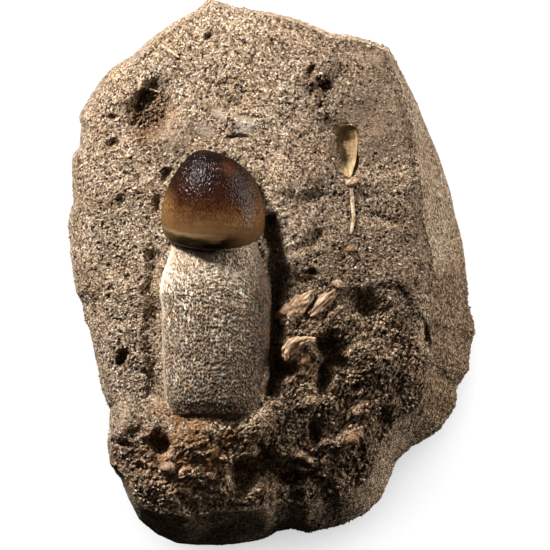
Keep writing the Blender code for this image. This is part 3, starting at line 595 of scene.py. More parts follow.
def upper_face():
    """The upper face as rows of points with the fine ground on them, and the values that its colour needs."""
    v, u = np.meshgrid(np.linspace(-1, 1, FACE_ROWS + 1), np.linspace(-1, 1, FACE_COLUMNS + 1), indexing="ij")
    across, up = (u * np.sqrt(1 - v**2 / 2)).ravel(), (v * np.sqrt(1 - u**2 / 2)).ravel()
    to_rim = np.hypot(across, up)
    degrees = np.degrees(np.arctan2(up, across))
    radius = to_rim * rim_radius(degrees)
    x, y = radius * np.cos(np.radians(degrees)), radius * np.sin(np.radians(degrees))
    face = np.column_stack([x, y, face_height(x, y, to_rim)])
    calm, broken = calm_at(x, y), broken_at(x, y)
    height, on_grain = fine_ground(face, calm, broken)
    face[:, 2] += height * smooth((1 - to_rim) / RIM_FADE)
    values = {"calm": calm, "broken": broken, "on_grain": on_grain}
    return face, {**values, "hollow": hollows(face), "painted_right_shade": painted_right_shade_at(x, y)}


def swell_at(ring, share):
    """How far the sides swell at a ring of points, at a share of the way down."""
    swell = sum(height * waves(ring, size, size + 31.0) for size, height in SIDE_SWELLS)
    near_ends = smooth(share / SWELL_FADE) * smooth((1 - share) / SWELL_FADE)
    return swell * near_ends * smooth(abs(share - WIDEST_ROW_SHARE) / SWELL_FADE_WIDEST)


def side_rings(rim):
    """Rings of points down the sides with the fine ground on them, and the values that their colour needs."""
    degrees = np.degrees(np.arctan2(rim[:, 1], rim[:, 0]))
    calm, broken = calm_side_at(degrees), broken_side_at(degrees)
    rings, on_grains = [rim], [np.full(len(rim), 0.5)]
    for row in range(1, SIDE_ROWS + 1):
        share = row / SIDE_ROWS
        ring = side_points(degrees, rim[:, 2], np.full(len(rim), share))
        push, on_grain = fine_ground(ring, calm, SIDE_LUMPS * broken)
        push *= smooth(share / SIDE_FADE) * smooth((1 - share) / SIDE_FADE)
        push += swell_at(ring, share)
        push_out(ring, push, degrees)
        rings.append(ring)
        on_grains.append(on_grain)
    values = {"calm": np.tile(SIDE_SCRAPED * calm, len(rings)), "broken": np.tile(broken, len(rings))}
    return np.array(rings), {**values, "on_grain": np.ravel(on_grains)}


def hollows(face):
    """How far each point of the face lies under its surroundings, in millimetres."""
    z = face[:, 2].reshape(FACE_ROWS + 1, FACE_COLUMNS + 1)
    blurred = z
    for _ in range(HOLLOW_BLURS):
        padded = np.pad(blurred, 1, mode="edge")
        blurred = (padded[:-2, 1:-1] + padded[2:, 1:-1] + padded[1:-1, :-2] + padded[1:-1, 2:]) / 4
    return np.clip(blurred - z, *HOLLOW_LIMITS).ravel()


def add_face(face, values, material):
    """The upper face, as a left and a right half that meet along a column of points."""
    middle = FACE_COLUMNS // 2
    columns = np.arange(len(face)) % (FACE_COLUMNS + 1)
    for name, part in (("left", columns <= middle), ("right", columns >= middle)):
        faces = grid_faces(middle + 1, FACE_ROWS + 1, False)
        own = {key: value[part] for key, value in values.items()}
        add_piece(f"rock_face_{name}", face[part], faces, material, "matrix", own, oriented=True)


def add_sides(border, rings, values, material):
    """The sides and the underside. The border of the face has two points for each column of the sides."""
    rows, columns = rings.shape[:2]
    shared = len(border)
    faces = []
    for i in range(columns):
        j = (i + 1) % columns
        faces.append([shared + i, shared + j, (2 * i + 2) % shared, 2 * i + 1, 2 * i])
    faces += [[shared + index for index in quad[::-1]] for quad in grid_faces(columns, rows - 1, True)]
    last = shared + (rows - 2) * columns
    faces.append(list(range(last, last + columns))[::-1])
    own = {}
    for name, value in values.items():
        own[name] = np.concatenate([np.repeat(value[:columns], 2), value[columns:]])
    for name in ("hollow", "painted_right_shade"):
        own[name] = np.zeros(shared + (rows - 1) * columns)
    points = np.vstack([border, rings[1:].reshape(-1, 3)])
    add_piece("rock_sides", points, faces, material, "matrix", own, oriented=True)


def scatter(grid, count, rng, keep):
    """Random points of a grid surface, with their normals. keep(points) is the chance that each stays."""
    rows, columns = grid.shape[:2]
    tries = TRIES * count
    i, j = rng.integers(0, rows - 1, tries), rng.integers(0, columns - 1, tries)
    s, t = rng.random((2, tries, 1))
    a, b, c = grid[i, j], grid[i, j + 1], grid[i + 1, j]
    points = a + (b - a) * s + (c - a) * t
    normals = np.cross(b - a, c - a)
    area = np.linalg.norm(normals, axis=1)
    chosen = rng.random(tries) < np.clip(area / np.percentile(area, FULL_AREA), 0, 1) * keep(points)
    return points[chosen][:count], (normals[chosen] / area[chosen, None])[:count]


def add_grains(name, points, normals, half_sizes, rng, material):
    """Grains as one mesh of small uneven double pyramids, each partly sunk in the surface."""
    count = len(points)
    corners = np.array([(1, 0, 0), (-0.5, 0.87, 0), (-0.5, -0.87, 0), (0, 0, 0.8), (0, 0, -0.8)])
    tris = np.array([(0, 1, 3), (1, 2, 3), (2, 0, 3), (1, 0, 4), (2, 1, 4), (0, 2, 4)])
    least, most = half_sizes
    size = least + (most - least) * rng.random((count, 1, 1)) ** GRAIN_SMALLNESS
    stretch = np.ones((count, 1, 3))
    stretch[:, 0, 0] = rng.uniform(*GRAIN_LENGTHS, count)
    shapes = corners * size * stretch * rng.uniform(*GRAIN_CORNERS, (count, 5, 1))
    along = np.cross(normals, rng.normal(size=(count, 3)))
    along /= np.linalg.norm(along, axis=1, keepdims=True)
    tilt = rng.normal(0, GRAIN_TILT, (count, 1))
    up = normals * np.cos(tilt) + along * np.sin(tilt)
    along = along * np.cos(tilt) - normals * np.sin(tilt)
    frames = np.stack([along, np.cross(up, along), up], axis=1)
    lift = rng.uniform(*GRAIN_LIFTS, (count, 1)) * size[:, 0]
    placed = shapes @ frames + (points + normals * lift)[:, None]
    faces = (tris[None] + 5 * np.arange(count)[:, None, None]).reshape(-1, 3).tolist()
    tone = rng.random(count) * (1 - BROKEN_DULLNESS * broken_at(points[:, 0], points[:, 1]))
    attributes = {"tone": np.repeat(tone, 5)}
    add_piece(name, placed.reshape(-1, 3), faces, material, attributes=attributes)


def over_tooth(x, y):
    """Whether a point lies well inside the outline of the tooth, seen from above."""
    ys, half_widths, _, xs = np.array(ROOT_RINGS).T
    in_root = np.abs(x - np.interp(-y, -ys, xs)) < np.interp(-y, -ys, half_widths) - 1
    root = (y < CROWN_WIDEST_Y) & (y > ys[-1] + 2) & in_root
    up = (y - CROWN_WIDEST_Y) / (CROWN_TIP_Y - CROWN_WIDEST_Y)
    crown_half_width = CROWN_HALF_WIDTH * np.sqrt(np.clip(1 - up**2, 0, 1))
    crown = (up >= 0) & (np.abs(x - CROWN_MARGIN_X) < crown_half_width - 1)
    return root | crown


def add_all_grains(face, sides, material):
    rng = np.random.default_rng(7)
    face_grid = face.reshape(FACE_ROWS + 1, FACE_COLUMNS + 1, 3)

    def kept_on_face(points):
        x, y = points[:, 0], points[:, 1]
        return np.where(over_tooth(x, y), 0, 1 - CALM_LACKS * calm_at(x, y))

    def kept_on_break(points):
        x, y = points[:, 0], points[:, 1]
        share = CRUMBS_OFF_BREAK + (1 - CRUMBS_OFF_BREAK) * broken_at(x, y)
        return np.where(over_tooth(x, y), 0, share)

    def kept_on_sides(points):
        degrees = np.degrees(np.arctan2(points[:, 1], points[:, 0]))
        share = 1 - CALM_SIDE_LACKS * calm_side_at(degrees)
        share *= 1 - BROKEN_SIDE_LACKS * broken_side_at(degrees)
        return share * (points[:, 2] > UNDERSIDE_MARGIN)

    for name, grid, count, keep, outside, half_sizes in (
        ("face_grains", face_grid, FACE_GRAINS, kept_on_face, 1, GRAIN_HALF_SIZES),
        ("crumbs", face_grid, CRUMBS, kept_on_break, 1, CRUMB_HALF_SIZES),
        ("side_grains", sides, SIDE_GRAINS, kept_on_sides, -1, GRAIN_HALF_SIZES),
    ):
        points, normals = scatter(grid, count, rng, keep)
        add_grains(name, points, outside * normals, half_sizes, rng, material)


# ---- The tooth ----


def tooth_turns(count):
    """Angles round the tooth, most of them on its upper part."""
    seen = round(count * SEEN_COLUMNS_SHARE)
    upper = np.linspace(SEEN_FROM, SEEN_TO, seen, endpoint=False)
    lower = np.linspace(SEEN_TO, SEEN_FROM + 360, count - seen, endpoint=False)
    return np.radians(np.concatenate([upper, lower]))


def outward(points, columns):
    """The outward direction at each point of a tube of rings that runs along Y, either way."""
    rings = points.reshape(-1, columns, 3)
    round_it = np.roll(rings, -1, axis=1) - np.roll(rings, 1, axis=1)
    normal = np.cross(np.gradient(rings, axis=0), round_it)
    if rings[0, 0, 1] < rings[-1, 0, 1]:
        normal = -normal
    length = np.linalg.norm(normal, axis=2, keepdims=True)
    return (normal / np.maximum(length, 1e-9)).reshape(-1, 3)


def crown_rings():
    """(y, share of the half width) of each ring, from the margin over the lip to the tip."""
    for i in range(CROWN_LIP_ROWS):
        part = i / CROWN_LIP_ROWS
        y = CROWN_MARGIN_Y + (CROWN_WIDEST_Y - CROWN_MARGIN_Y) * part
        yield y, CROWN_NECK_SHARE + (1 - CROWN_NECK_SHARE) * math.sqrt(1 - (1 - part) ** 2)
    for i in range(CROWN_DOME_ROWS):
        turn = math.pi / 2 * i / CROWN_DOME_ROWS
        y = CROWN_WIDEST_Y + (CROWN_TIP_Y - CROWN_WIDEST_Y) * math.sin(turn)
        yield y, math.cos(turn) ** CROWN_POINTEDNESS


def bent_by(points, bend, seeds):
    """The points, shifted along each axis by waves of the given (size, reach)."""
    size, reach = bend
    return points + reach * np.column_stack([waves(points, size, seed) for seed in seeds])


def enamel_relief(points, ups):
    """How far each point of the crown stands out, and how high it lies on a wrinkle, 0 to 1."""
    bent = bent_by(points, WRINKLE_BEND, (5.0, 15.0, 25.0))
    to_middle = np.array([noise.voronoi(Vector(p))[0][0] for p in bent / WRINKLE_SIZE])
    ridges = 1 - np.minimum(1, to_middle / WRINKLE_RADIUS) ** 2
    right = smooth((points[:, 0] - RIGHT_FROM) / RIGHT_FADE)
    wrinkled = smooth((ups - WRINKLED_FROM + WRINKLED_LOWER * right) / WRINKLED_FADE)
    growth = GROWTH_HEIGHT * waves(points / GROWTH_SIZE, 1.0, 4.0)
    rise = WRINKLE_HEIGHT * (ridges - RIDGE_MEAN) * wrinkled + growth * (1 - wrinkled)
    size, height = ENAMEL_WAVES
    return rise + height * waves(points, size, 2.0) - ENAMEL_SINK, ridges * wrinkled


def add_crown(material):
    turns = tooth_turns(CROWN_COLUMNS)
    points, ups = [], []
    for y, share in crown_rings():
        up = (y - CROWN_MARGIN_Y) / (CROWN_TIP_Y - CROWN_MARGIN_Y)
        x = CROWN_MARGIN_X + (CROWN_TIP_X - CROWN_MARGIN_X) * up**CROWN_TIP_BEND
        z = CROWN_MARGIN_Z + (CROWN_TIP_Z - CROWN_MARGIN_Z) * up
        half_width, half_depth = share * CROWN_HALF_WIDTH, share * CROWN_HALF_DEPTH
        points += tooth_ring((x, y, z), half_width, half_depth, MARGIN_SLOPE * (1 - up), turns)
        ups += [up] * CROWN_COLUMNS
    points, ups = np.array(points), np.array(ups)
    rise, ridge = enamel_relief(points, ups)
    points = points + outward(points, CROWN_COLUMNS) * rise[:, None]
    rows = len(points) // CROWN_COLUMNS
    tip, last = len(points), (rows - 1) * CROWN_COLUMNS
    fan = [[last + (i + 1) % CROWN_COLUMNS, last + i, tip] for i in range(CROWN_COLUMNS)]
    faces = [*grid_faces(CROWN_COLUMNS, rows, True), list(range(CROWN_COLUMNS)), *fan]
    points = np.vstack([points, (CROWN_TIP_X, CROWN_TIP_Y, CROWN_TIP_Z)])
    attributes = {"up": [*ups, 1.0], "ridge": [*ridge, 0.0]}
    add_piece("crown", points, faces, material, "tooth_crown", attributes)


def root_relief(points, down, turns):
    """How far each point of the root stands out, and how deep in a pore it lies, 0 to 1."""
    bent = bent_by(points, PORE_BEND, (2.0, 12.0, 22.0))
    cells = np.array([noise.voronoi(Vector(p))[0][:2] for p in bent / PORE_SIZE])
    pores = smooth((cells[:, 1] - cells[:, 0] - PORE_WALL) / PORE_EDGE)
    size, mean, reach = PORE_PATCHES
    pores *= smooth(mean + reach * waves(points, size, 7.0))
    worn_left = np.where(np.cos(turns) < 0, smooth((np.sin(turns) - WORN_UP_TO) / WORN_FADE), 1.0)
    below_neck = smooth((down - NECK_SHARE) / NECK_FADE)
    pores *= (NECK_PORES + (1 - NECK_PORES) * below_neck) * np.tile(worn_left, ROOT_ROWS)
    lumps = sum(height * waves(points / size, 1.0, seed) for size, height, seed in ROOT_LUMPS)
    return lumps - PORE_DEPTH * pores, pores


def add_root(material):
    table = np.array(ROOT_RINGS)
    top, end = table[0, 0], table[-1, 0]
    down = np.linspace(0, 1, ROOT_ROWS)
    ys = top + (end - top) * down
    half_widths, half_depths, xs = (np.interp(-ys, -table[:, 0], table[:, column]) for column in (1, 2, 3))
    turns = tooth_turns(ROOT_COLUMNS)
    points = []
    for share, y, half_width, half_depth, x in zip(down, ys, half_widths, half_depths, xs):
        z = ROOT_TOP_Z + (ROOT_END_Z - ROOT_TOP_Z) * share
        slope = MARGIN_SLOPE * max(0.0, 1 - 3 * share)
        points += tooth_ring((x, y, z), half_width, half_depth, slope, turns, ROOT_SQUARENESS)
    points, down = np.array(points), np.repeat(down, ROOT_COLUMNS)
    rise, pores = root_relief(points, down, turns)
    points = points + outward(points, ROOT_COLUMNS) * rise[:, None]
    faces = tube_faces(ROOT_COLUMNS, ROOT_ROWS)
    attributes = {"down": down, "pore": pores}
    add_piece("root_bone", points, faces, material, "tooth_root", attributes)


# ---- Small embedded pieces ----


def read_off(path, half_widths, places):
    """The points and the half widths at places along a path, counted from 0 at its first point."""
    table = np.column_stack([path, half_widths])
    *points, widths = (np.interp(places, range(len(table)), column) for column in table.T)
    return np.column_stack(points), widths


def add_bar(name, path, half_widths, bulges, grooves, material, node=None):
    """A splinter, spine or small tooth in fine detail."""
    path = np.array([on_face(point) for point in path])
    shares = np.linspace(0, len(path) - 1, BAR_ROWS)
    places, widths = read_off(path, half_widths, shares)
    ends = np.sqrt(smooth(np.minimum(shares, len(path) - 1 - shares) / BAR_TAPER))
    widths *= BAR_END_SHARE + (1 - BAR_END_SHARE) * ends
    along = (path[-1] - path[0]) / np.linalg.norm(path[-1] - path[0])
    sideways = np.cross(along, (0, 0, 1))
    sideways /= np.linalg.norm(sideways)
    upward = np.cross(sideways, along)
    turns = 2 * np.pi * np.arange(BAR_COLUMNS) / BAR_COLUMNS
    bulge = np.where(np.sin(turns) > 0, *bulges) * np.sin(turns)
    ring = np.cos(turns)[:, None] * sideways + bulge[:, None] * upward
    points = (places[:, None] + widths[:, None, None] * ring).reshape(-1, 3)
    size_along, size_across, height = grooves
    axes = np.column_stack([along / size_along, sideways / size_across, upward / size_across])
    rise = sum(share * waves(points @ axes, size, seed) for size, seed, share in BAR_WAVES)
    crack_size, crack_seed, crack_share = CRACKS
    rise += crack_share * np.tanh(CRACK_SHARPNESS * waves(points @ axes, crack_size, crack_seed))
    rise *= height * np.repeat(np.minimum(1, widths), BAR_COLUMNS)
    points = points + np.tile(ring, (BAR_ROWS, 1)) * rise[:, None]
    add_piece(f"{name}_detail", points, tube_faces(BAR_COLUMNS, BAR_ROWS), material, node)


def add_pebble(name, middle, half_sizes, turn, material, node=None):
    middle = Vector(on_face(middle))
    bm = bmesh.new()
    bmesh.ops.create_icosphere(bm, subdivisions=3, radius=1.0)
    c, s = math.cos(math.radians(turn)), math.sin(math.radians(turn))
    points = []
    for vert in bm.verts:
        lumpy = sum(rise * noise.noise(vert.co * often + middle) for often, rise in PEBBLE_WAVES)
        x, y, z = (a * b for a, b in zip(vert.co * (1 + lumpy), half_sizes))
        points.append(middle + Vector((x * c - y * s, x * s + y * c, z)))
    faces = [[vert.index for vert in face.verts] for face in bm.faces]
    bm.free()
    add_piece(f"{name}_detail", points, faces, material, node)


def add_fragment(name, path, half_widths, bulges, material):
    """A bone fragment, split along its grain into blades that lie side by side."""
    path = np.array(path)
    run = (path[-1] - path[0])[:2]
    sideways = np.array([run[1], -run[0], 0.0]) / np.hypot(*run)
    last = len(path) - 1
    for number, (shift, lift, start, end) in enumerate(BLADES):
        blade, widths = read_off(path, half_widths, np.linspace(start * last, end * last, len(path)))
        blade += shift * widths[:, None] * sideways
        widths *= BLADE_HALF_WIDTH
        blade[:, 2] += lift
        blade_name = f"{name}_blade_{number + 1}"
        add_bar(blade_name, blade, widths, bulges, BONE_GROOVES, material, name)


# ---- Materials ----


class Nodes:
    """Short names for the shader nodes of a material, and the colour that they have mixed so far."""

    def __init__(self, name, colour=None):
        self.material = bpy.data.materials.new(name)
        self.material.use_nodes = True
        self.tree = self.material.node_tree
        self.shader = self.tree.nodes["Principled BSDF"]
        self.place = self.add("TexCoord", "Object")
        self.colour = colour

    def add(self, kind, output, inputs=None, **settings):
        """Adds a node, sets or links its inputs and gives its output."""
        node = self.tree.nodes.new("ShaderNode" + kind)
        for key, value in settings.items():
            setattr(node, key, value)
        for key, value in (inputs or {}).items():
            self.put(node.inputs[key], value)
        return node.outputs[output]

    def put(self, socket, value):
        if isinstance(value, bpy.types.NodeSocket):
            self.tree.links.new(value, socket)
        elif hasattr(socket.default_value, "__len__") and len(socket.default_value) == 4:
            socket.default_value = (*value, 1.0)
        else:
            socket.default_value = value

    def stretched(self, factors, degrees=0.0):
        """The place, turned so that X runs in a direction, and then stretched."""
        turn, scale = (0.0, 0.0, math.radians(degrees)), [1 / factor for factor in factors]
        inputs = {"Vector": self.place, "Rotation": turn, "Scale": scale}
        return self.add("Mapping", "Vector", inputs, vector_type="TEXTURE")

    def noise(self, size_mm, detail=2.0, roughness=0.5, place=None):
        inputs = {"Vector": place or self.place, "Scale": 1000.0 / size_mm}
        return self.add("TexNoise", "Fac", {**inputs, "Detail": detail, "Roughness": roughness})

    def cells(self, size_mm, output):
        return self.add("TexVoronoi", output, {"Vector": self.place, "Scale": 1000.0 / size_mm})

    def own(self, name):
        """A value that the mesh has on its points."""
        return self.add("Attribute", "Fac", attribute_name=name)

    def math(self, operation, a, b):
        return self.add("Math", 0, {0: a, 1: b}, operation=operation)

    def both(self, *shares):
        """The product of the shares."""
        return reduce(lambda a, b: self.math("MULTIPLY", a, b), shares)

    def ranged(self, value, low, high, to_low=0.0, to_high=1.0):
        inputs = {"Value": value, "From Min": low, "From Max": high, "To Min": to_low, "To Max": to_high}
        return self.add("MapRange", "Result", inputs)

    def by(self, name, *places):
        """A value that the mesh has on its points, spread over a range."""
        return self.ranged(self.own(name), *places)

    def varied(self, value, low, high):
        """A noise or another uneven value, spread over a range."""
        return self.ranged(value, 0.3, 0.7, low, high)

    def across(self, low_mm, high_mm):
        """0 where x is at the first place, rising to 1 at the second."""
        x = self.add("SeparateXYZ", "X", {"Vector": self.place})
        return self.ranged(x, low_mm * MM, high_mm * MM)

    def near(self, centre_mm, radius_mm):
        """1 about a place, falling to 0 at the radius."""
        centre = [value * MM for value in centre_mm]
        away = self.add("VectorMath", "Value", {0: self.place, 1: centre}, operation="DISTANCE")
        return self.ranged(away, radius_mm * MM, FULL_COLOUR_SHARE * radius_mm * MM)

    def ramp(self, value, *stops):
        """Colours by a value. Each stop is the value and the red, green and blue as a screen shows them."""
        node = self.tree.nodes.new("ShaderNodeValToRGB")
        self.put(node.inputs["Fac"], value)
        elements = node.color_ramp.elements
        while len(elements) < len(stops):
            elements.new(0.5)
        for element, (place, *colour) in zip(elements, stops):
            element.position = place
            element.color = (*srgb(colour), 1.0)
        return node.outputs["Color"]

    def mix(self, blend, new, shares):
        inputs = {0: self.both(*shares), 6: self.colour, 7: new}  # by number, as some share their names
        self.colour = self.add("Mix", 2, inputs, data_type="RGBA", blend_type=blend)

    def paint(self, new, *shares):
        """Passes to a colour where the shares are 1. A tuple is a colour as a screen shows it."""
        self.mix("MIX", srgb(new) if isinstance(new, tuple) else new, shares)

    def tint(self, factors, *shares):
        """Multiplies the colour by the factors where the shares are 1."""
        self.mix("MULTIPLY", factors, shares)

    def bump(self, height, distance_mm, strength=1.0):
        inputs = {"Height": height, "Distance": distance_mm * MM, "Strength": strength}
        self.put(self.shader.inputs["Normal"], self.add("Bump", "Normal", inputs))

    def finish(self, roughness, **others):
        for name, value in {"Base Color": self.colour, "Roughness": roughness, **others}.items():
            self.put(self.shader.inputs[name.replace("_", " ")], value)
        return self.material


def srgb(shown):
    """A colour as a screen shows it, 0 to 255, in linear light."""
    return tuple(((value / 255 + 0.055) / 1.055) ** 2.4 for value in shown)


def stain(n):
    """Rust that has soaked into the crumbly bank below the root and the pit at the upper left."""
    patchy = n.ranged(n.noise(4.0, 3.0), 0.35, 0.6)
    for centre, radius, strength in RUST:
        n.paint((150, 100, 48), n.near(centre, radius), patchy, strength)


def rock_material():
    n = Nodes("sandstone_fine")
    n.colour = n.ramp(
        n.cells(0.40, "Color"), (0.10, 40, 27, 15), (0.28, 102, 78, 53), (0.43, 146, 120, 93),
        (0.60, 172, 148, 120), (0.75, 200, 178, 151), (0.90, 240, 226, 206),
    )
    n.paint(n.ramp(n.noise(0.7, 3.0), (0.3, 128, 104, 80), (0.7, 178, 154, 128)), n.own("calm"), 0.55)
    n.tint((0.84, 0.78, 0.70), n.ranged(n.noise(14.0, 3.0), 0.42, 0.66))
    # Broken ground is darker, except at the bottom left, where painted light leaves it lighter.
    n.tint((0.77, 0.69, 0.59), n.math("SUBTRACT", n.own("broken"), n.near(*PAINTED_LIGHT_SLOPE)))
    # Painted shade: dark gaps between the crumbs of broken ground.
    n.tint((0.28, 0.22, 0.16), n.own("broken"), n.ranged(n.cells(0.75, "Distance"), 0.48, 0.75))
    # Painted shade over the right of the upper face.
    n.tint((0.64, 0.60, 0.56), n.own("painted_right_shade"))
    # Painted light on the shaded bottom edge.
    n.tint(PAINTED_LIGHT_GAIN, n.near(*PAINTED_LIGHT_BOTTOM))
    for patch in PALE_PATCHES:
        n.paint((206, 188, 172), n.near(*patch), 0.7)
    stain(n)
    # Painted shade: dark brown in the creases between packed grains and where grains have fallen out.
    n.paint((44, 28, 14), n.by("on_grain", 0.40, -0.2), 0.85)
    # Painted shade: darker where the face lies under its surroundings.
    n.tint((0.58, 0.49, 0.40), n.by("hollow", 0.2, 1.8))
    n.bump(n.noise(0.55, 3.0, 0.75), 1.0)
    return n.finish(n.varied(n.noise(2.0), 0.75, 0.95))


def grain_material():
    n = Nodes("sand_grain")
    n.colour = n.ramp(
        n.own("tone"), (0.00, 48, 31, 17), (0.12, 88, 63, 40), (0.30, 144, 118, 90),
        (0.66, 178, 155, 128), (0.90, 196, 175, 149), (0.985, 218, 203, 180),
    )
    n.paint((122, 92, 64), n.varied(n.noise(9.0, 2.0), 0.0, 0.35))
    stain(n)
    return n.finish(n.varied(n.noise(0.8), 0.5, 0.8))


def cream_line(n):
    """The thin line over the lip: 1 on its middle, and only on the left of the crown."""
    up = n.math("ADD", n.own("up"), n.varied(n.noise(3.0, 2.0), -0.012, 0.012))
    return n.both(n.ranged(up, 0.132, 0.146), n.ranged(up, 0.18, 0.156), n.across(-12.0, -23.0))


def crown_material():
    n = Nodes("enamel_fine")
    streaks = n.noise(0.8, 2.0, place=n.stretched((0.12, 1.0, 0.12)))
    up = n.math("ADD", n.own("up"), n.ranged(n.noise(5.5, 3.0), 0.25, 0.75, -0.04, 0.04))
    up = n.math("ADD", up, n.ranged(streaks, 0.2, 0.8, -0.025, 0.025))
    n.colour = n.ramp(
        up, (0.00, 92, 76, 48), (0.04, 54, 43, 27), (0.10, 48, 38, 24), (0.14, 140, 106, 70),
        (0.24, 136, 98, 60), (0.34, 98, 64, 36), (0.43, 62, 34, 16), (0.53, 42, 18, 8),
        (0.68, 30, 13, 7), (0.84, 20, 10, 7), (1.00, 14, 9, 7),
    )
    n.paint((104, 70, 42), n.across(-7.0, -2.5), n.by("up", 0.85, 0.6), 0.6)
    # Painted light: a lighter tan on the crown's lower left side, which faces the light.
    n.paint((160, 118, 70), n.across(-22.5, -26.0), n.by("up", 0.6, 0.4), 0.6)
    n.paint((80, 46, 28), n.near(*RED_PATCH), 0.5)
    n.paint((176, 150, 104), cream_line(n), 0.85)
    n.paint((136, 100, 62), n.ranged(up, 0.16, 0.10), n.across(-12.0, -7.0))
    n.paint((66, 28, 12), n.ranged(n.noise(3.4, 3.0, 0.6), 0.5, 0.72), 0.4)
    # Painted shade: near black in the grooves between the enamel's wrinkles; it darkens the unwrinkled lower
    # crown as well.
    n.paint((14, 7, 4), n.by("ridge", 0.45, 0.0), 0.6)
    n.bump(n.noise(0.35, 2.0), 0.04, 0.5)
    return n.finish(n.varied(n.noise(1.5, 2.0), 0.18, 0.28), Specular_IOR_Level=0.09)


def root_material():
    n = Nodes("spongy_bone_fine")
    fibres = n.noise(0.5, 3.0, 0.7, n.stretched((1.0, 0.15, 1.0)))
    n.colour = n.ramp(fibres, (0.36, 112, 90, 66), (0.49, 196, 180, 156), (0.62, 244, 234, 216))
    n.paint((186, 166, 138), n.by("down", 0.06, 0.24, 0.5, 0.0))
    n.paint((150, 120, 86), n.ranged(n.noise(6.0, 3.0), 0.45, 0.72), 0.35)
    # Painted shade: the root grows darker towards its lower end.
    n.paint((100, 86, 68), n.by("down", 0.3, 0.95, 0.0, 0.5))
    # Painted light: a near white strip down the root's upper left side, which faces the light.
    n.paint((240, 226, 206), n.across(-23.5, -26.5), n.by("down", 0.45, 0.1), 0.7)
    # Painted shade on the root's right edge, which faces away from the light.
    n.paint((52, 40, 28), n.across(-7.0, -2.8), 0.9)
    n.tint((0.50, 0.43, 0.35), n.ranged(n.cells(0.34, "Color"), 0.55, 0.15))
    # The pores' rust-brown fill, darkened further as painted shade in them.
    pore_colour = n.ramp(n.noise(1.6, 2.0), (0.40, 46, 33, 20), (0.62, 118, 78, 42))
    n.paint(pore_colour, n.by("pore", 0.1, 0.6), 0.82)
    n.paint((96, 64, 38), n.by("down", 0.9, 1.0), 0.6)
    n.bump(fibres, 0.2)
    return n.finish(0.82)


def bone_material():
    n = Nodes("fossil_bone_fine")
    fibres = n.noise(0.7, 4.0, 0.65, n.stretched((0.25, 1.0, 1.0), 46.0))
    n.colour = n.ramp(
        fibres, (0.30, 58, 38, 22), (0.42, 124, 94, 68), (0.54, 170, 140, 110), (0.68, 208, 184, 154)
    )
    n.paint((160, 108, 62), n.ranged(n.noise(2.6, 2.0), 0.5, 0.68), 0.45)
    n.bump(fibres, 0.35)
    return n.finish(n.varied(fibres, 0.8, 0.6))


def dark_tooth_material():
    n = Nodes("dark_tooth_fine")
    streaks = n.noise(0.9, 3.0, 0.55, n.stretched((1.0, 0.14, 1.0)))
    n.colour = n.ramp(streaks, (0.32, 108, 84, 50), (0.52, 150, 122, 80), (0.70, 182, 154, 110))
    n.paint((98, 74, 46), n.ranged(n.noise(0.8, 3.0), 0.45, 0.7), 0.6)
    n.bump(n.noise(0.6, 3.0), 0.15)
    return n.finish(n.varied(streaks, 0.55, 0.75))


def shell_material(name, pale, deep):
    n = Nodes(name)
    blotches = n.noise(1.4, 3.0, 0.6)
    n.colour = n.ramp(blotches, (0.34, *deep), (0.62, *pale))
    n.tint((0.62, 0.52, 0.42), n.ranged(n.noise(0.5, 3.0, 0.7), 0.55, 0.35))
    n.bump(n.noise(0.4, 2.0), 0.3)
    return n.finish(n.varied(blotches, 0.5, 0.75))


# ---- Stage, light and camera ----


def add_floor():
    """A white floor whose only shading is a short soft shadow on the side away from the key light."""
    half = FLOOR_HALF_SIZE
    corners = [(-half, -half, 0), (half, -half, 0), (half, half, 0), (-half, half, 0)]
    mesh = bpy.data.meshes.new("floor")
    mesh.from_pydata(corners, [], [(0, 1, 2, 3)])
    floor = add_object("floor", mesh, (0, 0, FLOOR_Z))
    n = Nodes("floor", (0.0, 0.0, 0.0))
    towards_light = n.add("VectorMath", 0, {0: FLOOR_OPEN_TO}, operation="NORMALIZE")
    inputs = {"Distance": FLOOR_SHADOW_REACH, "Normal": towards_light}
    open_sky = n.add("AmbientOcclusion", "AO", inputs, samples=FLOOR_SHADOW_SAMPLES)
    n.put(n.shader.inputs["Emission Color"], (1.0, 1.0, 1.0))
    n.put(n.shader.inputs["Emission Strength"], n.ranged(open_sky, *FLOOR_SHADOW, *FLOOR_GLOW))
    mesh.materials.append(n.finish(1.0, Specular_IOR_Level=0.0))
    floor.visible_diffuse = False
    floor.visible_glossy = False


def add_light(name, place, size, power, colour):
    light = bpy.data.lights.new(name, "AREA")
    light.energy = power
    light.shape = "RECTANGLE"
    light.size, light.size_y = size
    light.color = colour
    add_object(name, light, place).rotation_euler = Vector(place).to_track_quat("Z", "Y").to_euler()


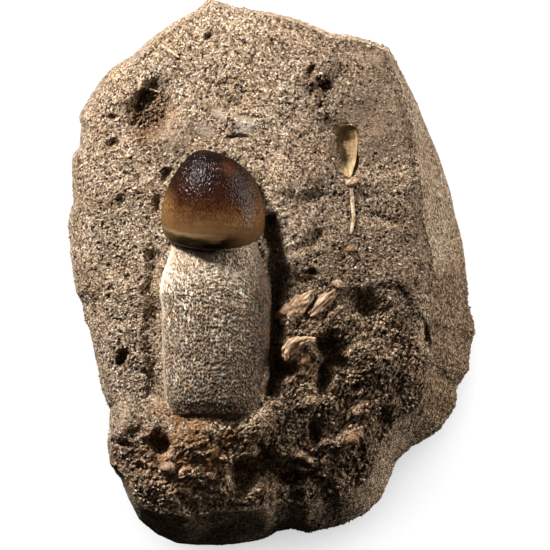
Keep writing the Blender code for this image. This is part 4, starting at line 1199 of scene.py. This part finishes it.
def set_stage():
    add_floor()
    for light in LIGHTS:
        add_light(*light)
    world = bpy.data.worlds.new("studio")
    world.use_nodes = True
    background = world.node_tree.nodes["Background"]
    background.inputs["Color"].default_value = WORLD_COLOUR
    background.inputs["Strength"].default_value = WORLD_STRENGTH
    bpy.context.scene.world = world
    camera = bpy.data.cameras.new("camera")
    camera.sensor_width = SENSOR_MM
    camera.lens = SENSOR_MM * (CAMERA_HEIGHT - SHARP_PLANE_HEIGHT) / (FRAME_PIXELS * PIXEL_MM * MM)
    bpy.context.scene.camera = add_object("camera", camera, (CAMERA_X, 0, CAMERA_HEIGHT))
    bpy.context.scene.view_settings.view_transform = "Standard"


def add_small_pieces():
    bone = bone_material()
    shell = shell_material("shell_fine", (204, 184, 154), (138, 104, 72))
    orange = shell_material("orange_chip", (138, 98, 60), (86, 54, 28))
    pebble = shell_material("pebble_fine", (170, 142, 116), (96, 66, 44))
    looks = {  # the material, the slot and the grooves
        "fish_tooth": (dark_tooth_material(), "dark_tooth", TOOTH_GROOVES),
        "fish_bone": (shell, "shell", SPINE_GROOVES),
    }
    for name, path, half_widths, bulges in BARS:
        if name in looks:
            material, slot, grooves = looks[name]
            add_bar(name, path, half_widths, bulges, grooves, material, name)
        else:
            add_fragment(name, path, half_widths, bulges, bone)
    for number, (path, half_widths) in enumerate(SLIVERS):
        add_bar(f"sliver_{number + 1}", path, half_widths, SLIVER_BULGES, SPINE_GROOVES, shell)
    for name, middle, half_sizes, turn in PEBBLES:
        material, slot = (orange if name in ORANGE_PEBBLES else pebble), "shell"
        if name == "bone_chip":
            material, slot = bone, "fossil_bone"
        add_pebble(name, middle, half_sizes, turn, material, name)
    for number, (middle, half_sizes, turn) in enumerate(CHIPS):
        material = orange if number < ORANGE_CHIPS else pebble
        add_pebble(f"chip_{number + 1}", middle, half_sizes, turn, material)


def main():
    rock = rock_material()
    face, face_values = upper_face()
    border = face[border_of_face()]
    rings, side_values = side_rings(border[::2])
    add_face(face, face_values, rock)
    add_sides(border, rings, side_values, rock)
    add_all_grains(face, rings, grain_material())
    add_crown(crown_material())
    add_root(root_material())
    add_small_pieces()
    set_stage()


main()
